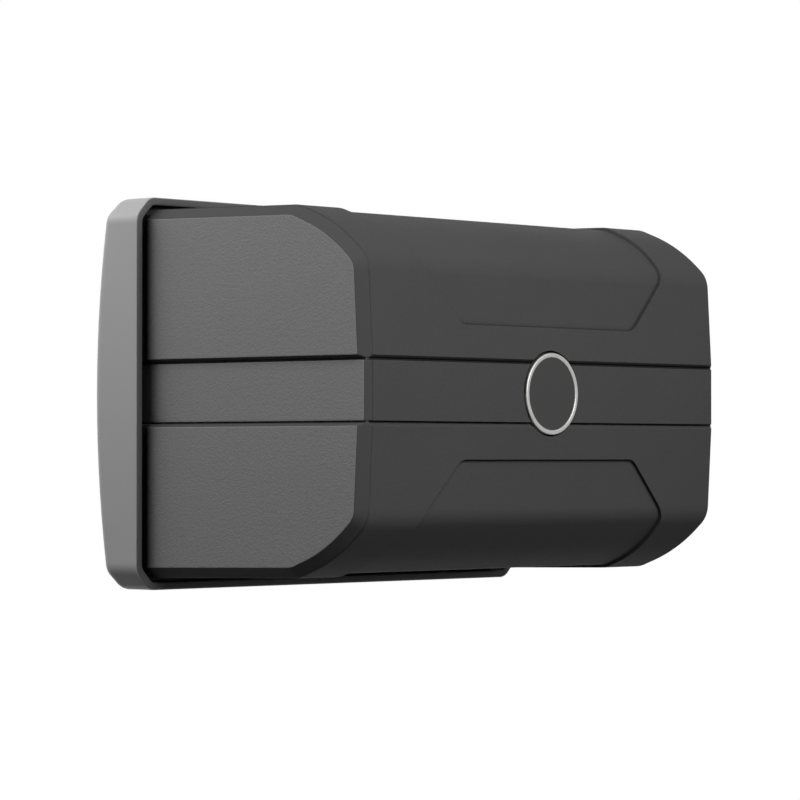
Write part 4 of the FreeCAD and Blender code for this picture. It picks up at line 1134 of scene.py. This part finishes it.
def outward(angle: float) -> Vector:
    """The level direction at an angle in radians from +X."""
    return Vector((math.cos(angle), math.sin(angle), 0.0))


# ---------------------------------------------------------------- the unit's sub-assemblies


UP = Vector((0.0, 0.0, 1.0))
ACROSS = Vector((1.0, 0.0, 0.0))


class Side(Enum):
    """Where a sub-assembly stands, as the node names have it."""

    MIDDLE = ""
    RIGHT = "right_"
    LEFT = "left_"


@dataclass
class Assembly:
    """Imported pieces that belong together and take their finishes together.

    Attributes:
        side: Where they stand.
        finishes: Finish by node, the nodes without their side.
    """

    side: Side = Side.MIDDLE
    finishes: ClassVar[dict[str, str]] = {}

    def build(self) -> None:
        """Dress the pieces."""
        for node, finish in self.finishes.items():
            dress(self.side.value + node, finish)


@dataclass
class Housing(Assembly):
    """Rear shell, side caps and their screws, and the brass inserts of the ceiling mount.

    Attributes:
        crest: Crest radius of the inserts' M6 thread, in metres.
        root: Radius of the bore that it stands on, in metres.
        half_foot: Half its thickness at the root, in metres.
        half_crest: Half its thickness at the crest, in metres.
        pitch: Its pitch in metres.
        sunk: How far below the inserts' top it starts, in metres.
        turns: Turns that show.
        steps: Steps to a turn.
        spacing: The inserts' spacing across and forward, in metres.
    """

    crest: float = 2.2 * MM
    root: float = 2.55 * MM
    half_foot: float = 0.36 * MM
    half_crest: float = 0.06 * MM
    pitch: float = 1.0 * MM
    sunk: float = 0.6 * MM
    turns: int = 8
    steps: int = 20
    spacing: tuple[float, float] = (100.0 * MM, 75.0 * MM)
    finishes = {"rear_shell": "rear_plastic", "right_side_cap": "side_plastic",
                "left_side_cap": "side_plastic", "cap_screws": "screw_steel",
                "mount_inserts": "insert_brass"}

    def threads(self) -> None:
        """Cut an M6 thread's crests round the bore of each insert."""
        mesh = bmesh.new()
        _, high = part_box("mount_inserts")
        top = high.z - self.sunk
        depth = self.root - self.crest
        section = [(0.0, self.half_foot), (0.0, -self.half_foot), (depth, -self.half_crest),
                   (depth, self.half_crest)]
        turns = [step / self.steps for step in range(self.turns * self.steps + 1)]
        outs = [outward(2 * math.pi * turn) for turn in turns]
        for sign_x in (-1, 1):
            for sign_y in (-1, 1):
                centre = Vector((sign_x * self.spacing[0] / 2, sign_y * self.spacing[1] / 2, top))
                path = [centre + out * self.root - UP * self.pitch * turn
                        for out, turn in zip(outs, turns)]
                sweep(mesh, path, section, [(-out, UP) for out in outs])
        add_piece("insert_threads", mesh, "insert_brass", "housing")

    def build(self) -> None:
        """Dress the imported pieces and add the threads."""
        super().build()
        self.threads()


@dataclass
class Badge(Assembly):
    """The round badge on the rear: a turned ring round a bare disc."""

    finishes = {"badge_ring": "badge_ring_metal", "badge_disc": "badge_face"}


@dataclass
class FrontBezel(Assembly):
    """The painted bezel and the window that it frames, with its gasket, baffle and screws."""

    finishes = {"front_bezel": "bezel_paint", "sensor_window": "window_glass",
                "window_gasket": "gasket_rubber", "light_baffle": "inner_black",
                "bezel_screws": "screw_steel"}


@dataclass
class Camera(Assembly):
    """One high-speed camera: bracket, board, body, barrel and front lens."""

    finishes = {"camera_bracket": "bracket_aluminium", "camera_board": "circuit_board",
                "camera_body": "camera_black", "lens_barrel": "lens_barrel",
                "lens_glass": "lens_glass"}


@dataclass
class StrobeLamp(Assembly):
    """One infrared strobe lamp: finned heat sink, board and emitters."""

    finishes = {"lamp_heat_sink": "heat_sink_black", "lamp_board": "circuit_board",
                "lamp_leds": "emitter_resin"}


@dataclass
class Cooling(Assembly):
    """The two fans behind the vents, and their screws."""

    finishes = {"exhaust_fan_frame": "fan_plastic", "exhaust_fan_rotor": "fan_plastic",
                "intake_fan_frame": "fan_plastic", "intake_fan_rotor": "fan_plastic",
                "fan_screws": "screw_steel"}


@dataclass
class Ports(Assembly):
    """Network jack, power inlet and power button on the top, and the board under them.

    Attributes:
        contacts: Spring contacts in the jack.
        contact_pitch: Their spacing in metres.
        contact_half: Half their thickness in metres.
        contact_bends: Their bends, forward of the jack's middle and below its top, in metres.
        ring_radius: Radius of the power symbol's arc, in metres.
        ring_turns: Where the arc starts and how far it runs, in degrees.
        ring_steps: Steps of the arc.
        line_half: Half the width of the symbol's lines, in metres.
        ink: Height of the print in metres.
        bar: Where the symbol's bar starts and ends, forward of the middle, in metres.
    """

    contacts: int = 8
    contact_pitch: float = 1.02 * MM
    contact_half: float = 0.18 * MM
    contact_bends: tuple[tuple[float, float], ...] = (
        (2.9 * MM, 2.0 * MM), (1.6 * MM, 4.2 * MM), (0.4 * MM, 8.5 * MM))
    ring_radius: float = 1.9 * MM
    ring_turns: tuple[float, float] = (120.0, 300.0)
    ring_steps: int = 32
    line_half: float = 0.17 * MM
    ink: float = 0.03 * MM
    bar: tuple[float, float] = (0.5 * MM, 2.5 * MM)
    finishes = {"port_board": "circuit_board", "port_screws": "screw_steel",
                "network_jack": "port_plastic", "power_inlet": "port_plastic",
                "button_switch": "port_plastic", "power_button": "button_plastic"}

    def spring_contacts(self) -> None:
        """Bend the jack's spring contacts down into its mouth."""
        mesh = bmesh.new()
        low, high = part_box("network_jack")
        middle = top_middle(low, high)
        half = self.contact_half
        section = [(-half, -half), (half, -half), (half, half), (-half, half)]
        for index in range(self.contacts):
            x = (index - (self.contacts - 1) / 2) * self.contact_pitch
            path = [middle + Vector((x, y, -down)) for y, down in self.contact_bends]
            sweep(mesh, path, section, [(ACROSS, Vector((0.0, 1.0, 0.3)))] * len(path))
        add_piece("jack_contacts", mesh, "gold_contact", "housing", False)

    def power_symbol(self) -> None:
        """Print the plain power symbol on the button's face."""
        mesh = bmesh.new()
        low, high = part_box("power_button")
        centre = top_middle(low, high)
        half = self.line_half
        section = [(-half, 0.0), (half, 0.0), (half, self.ink), (-half, self.ink)]
        start, run = self.ring_turns
        outs = [outward(math.radians(start + run * step / self.ring_steps))
                for step in range(self.ring_steps + 1)]
        sweep(mesh, [centre + out * self.ring_radius for out in outs], section,
              [(out, UP) for out in outs])
        bar = [centre + Vector((0.0, y, 0.0)) for y in self.bar]
        sweep(mesh, bar, section, [(ACROSS, UP)] * 2)
        add_piece("power_symbol", mesh, "printed_white", "power_button", False)

    def build(self) -> None:
        """Dress the ports and add the contacts and the symbol."""
        super().build()
        self.spring_contacts()
        self.power_symbol()


@dataclass
class Electronics(Assembly):
    """The chassis plate with the boards and what stands on them."""

    finishes = {"chassis_plate": "chassis_aluminium", "chassis_screws": "screw_steel",
                "main_board": "circuit_board", "driver_board": "circuit_board",
                "board_standoffs": "insert_brass", "board_screws": "screw_steel",
                "processor": "chip_black", "memory_chips": "chip_black",
                "heat_sink": "heat_sink_black", "strobe_capacitors": "capacitor_sleeve"}


# ---------------------------------------------------------------- studio


@dataclass
class SoftLamp:
    """One soft box.

    Attributes:
        name: Its name.
        where: Its place in metres.
        size: Its width in metres.
        power: Its power in watts.
        height: Its height in metres, 0 for a square one.
        aim: The point that it faces.
        mirrored: Whether it shows in glossy faces.
    """

    name: str
    where: Point
    size: float
    power: float
    height: float = 0.0
    aim: Point = (0.0, -0.01, -0.11)
    mirrored: bool = True

    def build(self) -> bpy.types.Object:
        """Hang the lamp.

        Returns:
            The lamp's object.
        """
        data = bpy.data.lights.new(self.name, "AREA")
        data.shape = "RECTANGLE"
        data.size = self.size
        data.size_y = self.height or self.size
        data.energy = self.power
        lamp = bpy.data.objects.new(self.name, data)
        lamp.location = self.where
        lamp.rotation_mode = "QUATERNION"
        lamp.rotation_quaternion = (Vector(self.aim) - Vector(self.where)).to_track_quat("-Z", "Y")
        lamp.visible_glossy = self.mirrored
        bpy.context.scene.collection.objects.link(lamp)
        return lamp


@dataclass
class Studio:
    """White surroundings, a pale floor, soft lamps and the camera.

    Attributes:
        floor_drop: Distance of the floor below the unit, in metres.
        floor_radius: Radius of the floor, in metres.
        floor_glow: How bright the floor is to look at, beside its own paper.
        floor_bounce: How much light it sends back to the unit.
        above: Ambient level from above.
        below: Ambient level from below.
        lamps: The soft boxes.
        camera_place: The camera's place in metres.
        azimuth: Its direction round the unit, in degrees.
        elevation: Its height over the horizon, in degrees.
        lens: Its focal length on a 36 mm sensor.
    """

    floor_drop: float = 0.55
    floor_radius: float = 2.3
    floor_glow: float = 0.80
    floor_bounce: float = 0.05
    above: float = 0.14
    below: float = 0.0
    lamps: list[SoftLamp] = field(default_factory=lambda: [
        SoftLamp("side_strip", (-0.60, 0.42, 0.40), 1.2, 5.3, 0.25),
        SoftLamp("side_top", (-0.45, 0.25, 0.60), 0.5, 0.7),
        SoftLamp("rear_left", (-0.50, -0.90, 0.40), 0.5, 5.6),
        SoftLamp("rear_middle", (0.05, -0.95, 0.30), 0.5, 4.6),
        SoftLamp("front_lamp", (0.20, 1.60, 0.40), 0.5, 9.0, mirrored=False),
        SoftLamp("right_lamp", (1.40, 0.70, 0.05), 0.8, 12.0),
    ])
    camera_place: Point = (-1.74974, -1.53830, -0.14758)
    azimuth: float = -48.58
    elevation: float = -0.912
    lens: float = 165.7

    def floor(self) -> None:
        """Lay the round floor well below the unit."""
        low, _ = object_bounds()
        mesh = bmesh.new()
        bmesh.ops.create_circle(mesh, cap_ends=True, segments=96, radius=self.floor_radius)
        for vert in mesh.verts:
            vert.co.z = low.z - self.floor_drop
        floor = make_object("floor", mesh)
        material = bpy.data.materials.new("floor_paper")
        material.use_nodes = True
        sheet = NodeSheet(material.node_tree)
        fibre = sheet.noise(sheet.position(), 60.0, 4.0)
        pale = sheet.add("ShaderNodeBsdfDiffuse")
        sheet.join(sheet.blend(fibre, grey(0.40), grey(0.44)), pale.inputs["Color"])
        glow = sheet.add("ShaderNodeEmission")
        glow.inputs["Strength"].default_value = self.floor_glow
        both = sheet.add("ShaderNodeAddShader")
        sheet.join(pale.outputs[0], both.inputs[0])
        sheet.join(glow.outputs[0], both.inputs[1])
        bounce = sheet.add("ShaderNodeBsdfDiffuse")
        bounce.inputs["Color"].default_value = rgba(grey(self.floor_bounce))
        self._choose(sheet, bounce, both, "ShaderNodeOutputMaterial")
        floor.data.materials.append(material)
        floor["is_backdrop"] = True

    def _choose(self, sheet: NodeSheet, lighting: bpy.types.Node, seen: bpy.types.Node,
                output: str) -> None:
        """Light the unit with one shader, and show another straight and in reflections.

        Args:
            sheet: The sheet of the floor or the world.
            lighting: The shader that lights the unit.
            seen: The shader that is looked at.
            output: Kind of the sheet's output node.
        """
        path = sheet.add("ShaderNodeLightPath")
        straight = sheet.math("MAXIMUM", path.outputs["Is Camera Ray"],
                              path.outputs["Is Transmission Ray"])
        looking = sheet.math("MAXIMUM", straight, path.outputs["Is Glossy Ray"])
        chosen = sheet.add("ShaderNodeMixShader")
        for place, source in enumerate((looking, lighting.outputs[0], seen.outputs[0])):
            sheet.join(source, chosen.inputs[place])
        sheet.join(chosen.outputs[0], sheet.add(output).inputs["Surface"])

    def surroundings(self) -> None:
        """Make the world: white to look at, and a soft light that comes mostly from above."""
        world = bpy.data.worlds.new("studio")
        world.use_nodes = True
        bpy.context.scene.world = world
        sheet = NodeSheet(world.node_tree)
        up = sheet.axes(sheet.add("ShaderNodeTexCoord").outputs["Generated"])[2]
        level = sheet.spread(up, -0.5, 0.7, self.below, self.above, smooth=True)
        ambient, white = (sheet.add("ShaderNodeBackground") for _ in range(2))
        for node in (ambient, white):
            node.inputs["Color"].default_value = (1.0, 1.0, 1.0, 1.0)
        sheet.join(level, ambient.inputs["Strength"])
        white.inputs["Strength"].default_value = 1.0
        self._choose(sheet, ambient, white, "ShaderNodeOutputWorld")

    def camera(self) -> bpy.types.Object:
        """Set up the camera that looks at the rear and one side.

        Returns:
            The camera's object.
        """
        data = bpy.data.cameras.new("camera")
        data.sensor_width = 36.0
        data.lens = self.lens
        data.clip_start = 0.05
        data.clip_end = 50.0
        camera = bpy.data.objects.new("camera", data)
        turn, rise = math.radians(self.azimuth), math.radians(self.elevation)
        back = Vector((math.sin(turn) * math.cos(rise), -math.cos(turn) * math.cos(rise),
                       math.sin(rise)))
        camera.location = self.camera_place
        camera.rotation_mode = "QUATERNION"
        camera.rotation_quaternion = (-back).to_track_quat("-Z", "Y")
        bpy.context.scene.collection.objects.link(camera)
        bpy.context.scene.camera = camera
        return camera

    def build(self) -> None:
        """Build the whole studio."""
        bpy.context.scene.view_settings.view_transform = "Standard"
        self.camera()
        self.floor()
        self.surroundings()
        for lamp in self.lamps:
            lamp.build()


def main() -> None:
    """Build the unit's sub-assemblies in order, then the studio."""
    logging.basicConfig(level=logging.INFO, format="%(message)s")
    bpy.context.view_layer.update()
    assemblies = [Housing(), Badge(), FrontBezel(), Camera(Side.RIGHT), Camera(Side.LEFT),
                  StrobeLamp(Side.RIGHT), StrobeLamp(Side.LEFT), Cooling(), Ports(),
                  Electronics(), Studio()]
    for assembly in assemblies:
        assembly.build()
        log.info("%s built", type(assembly).__name__)


if __name__ == "__main__":
    main()
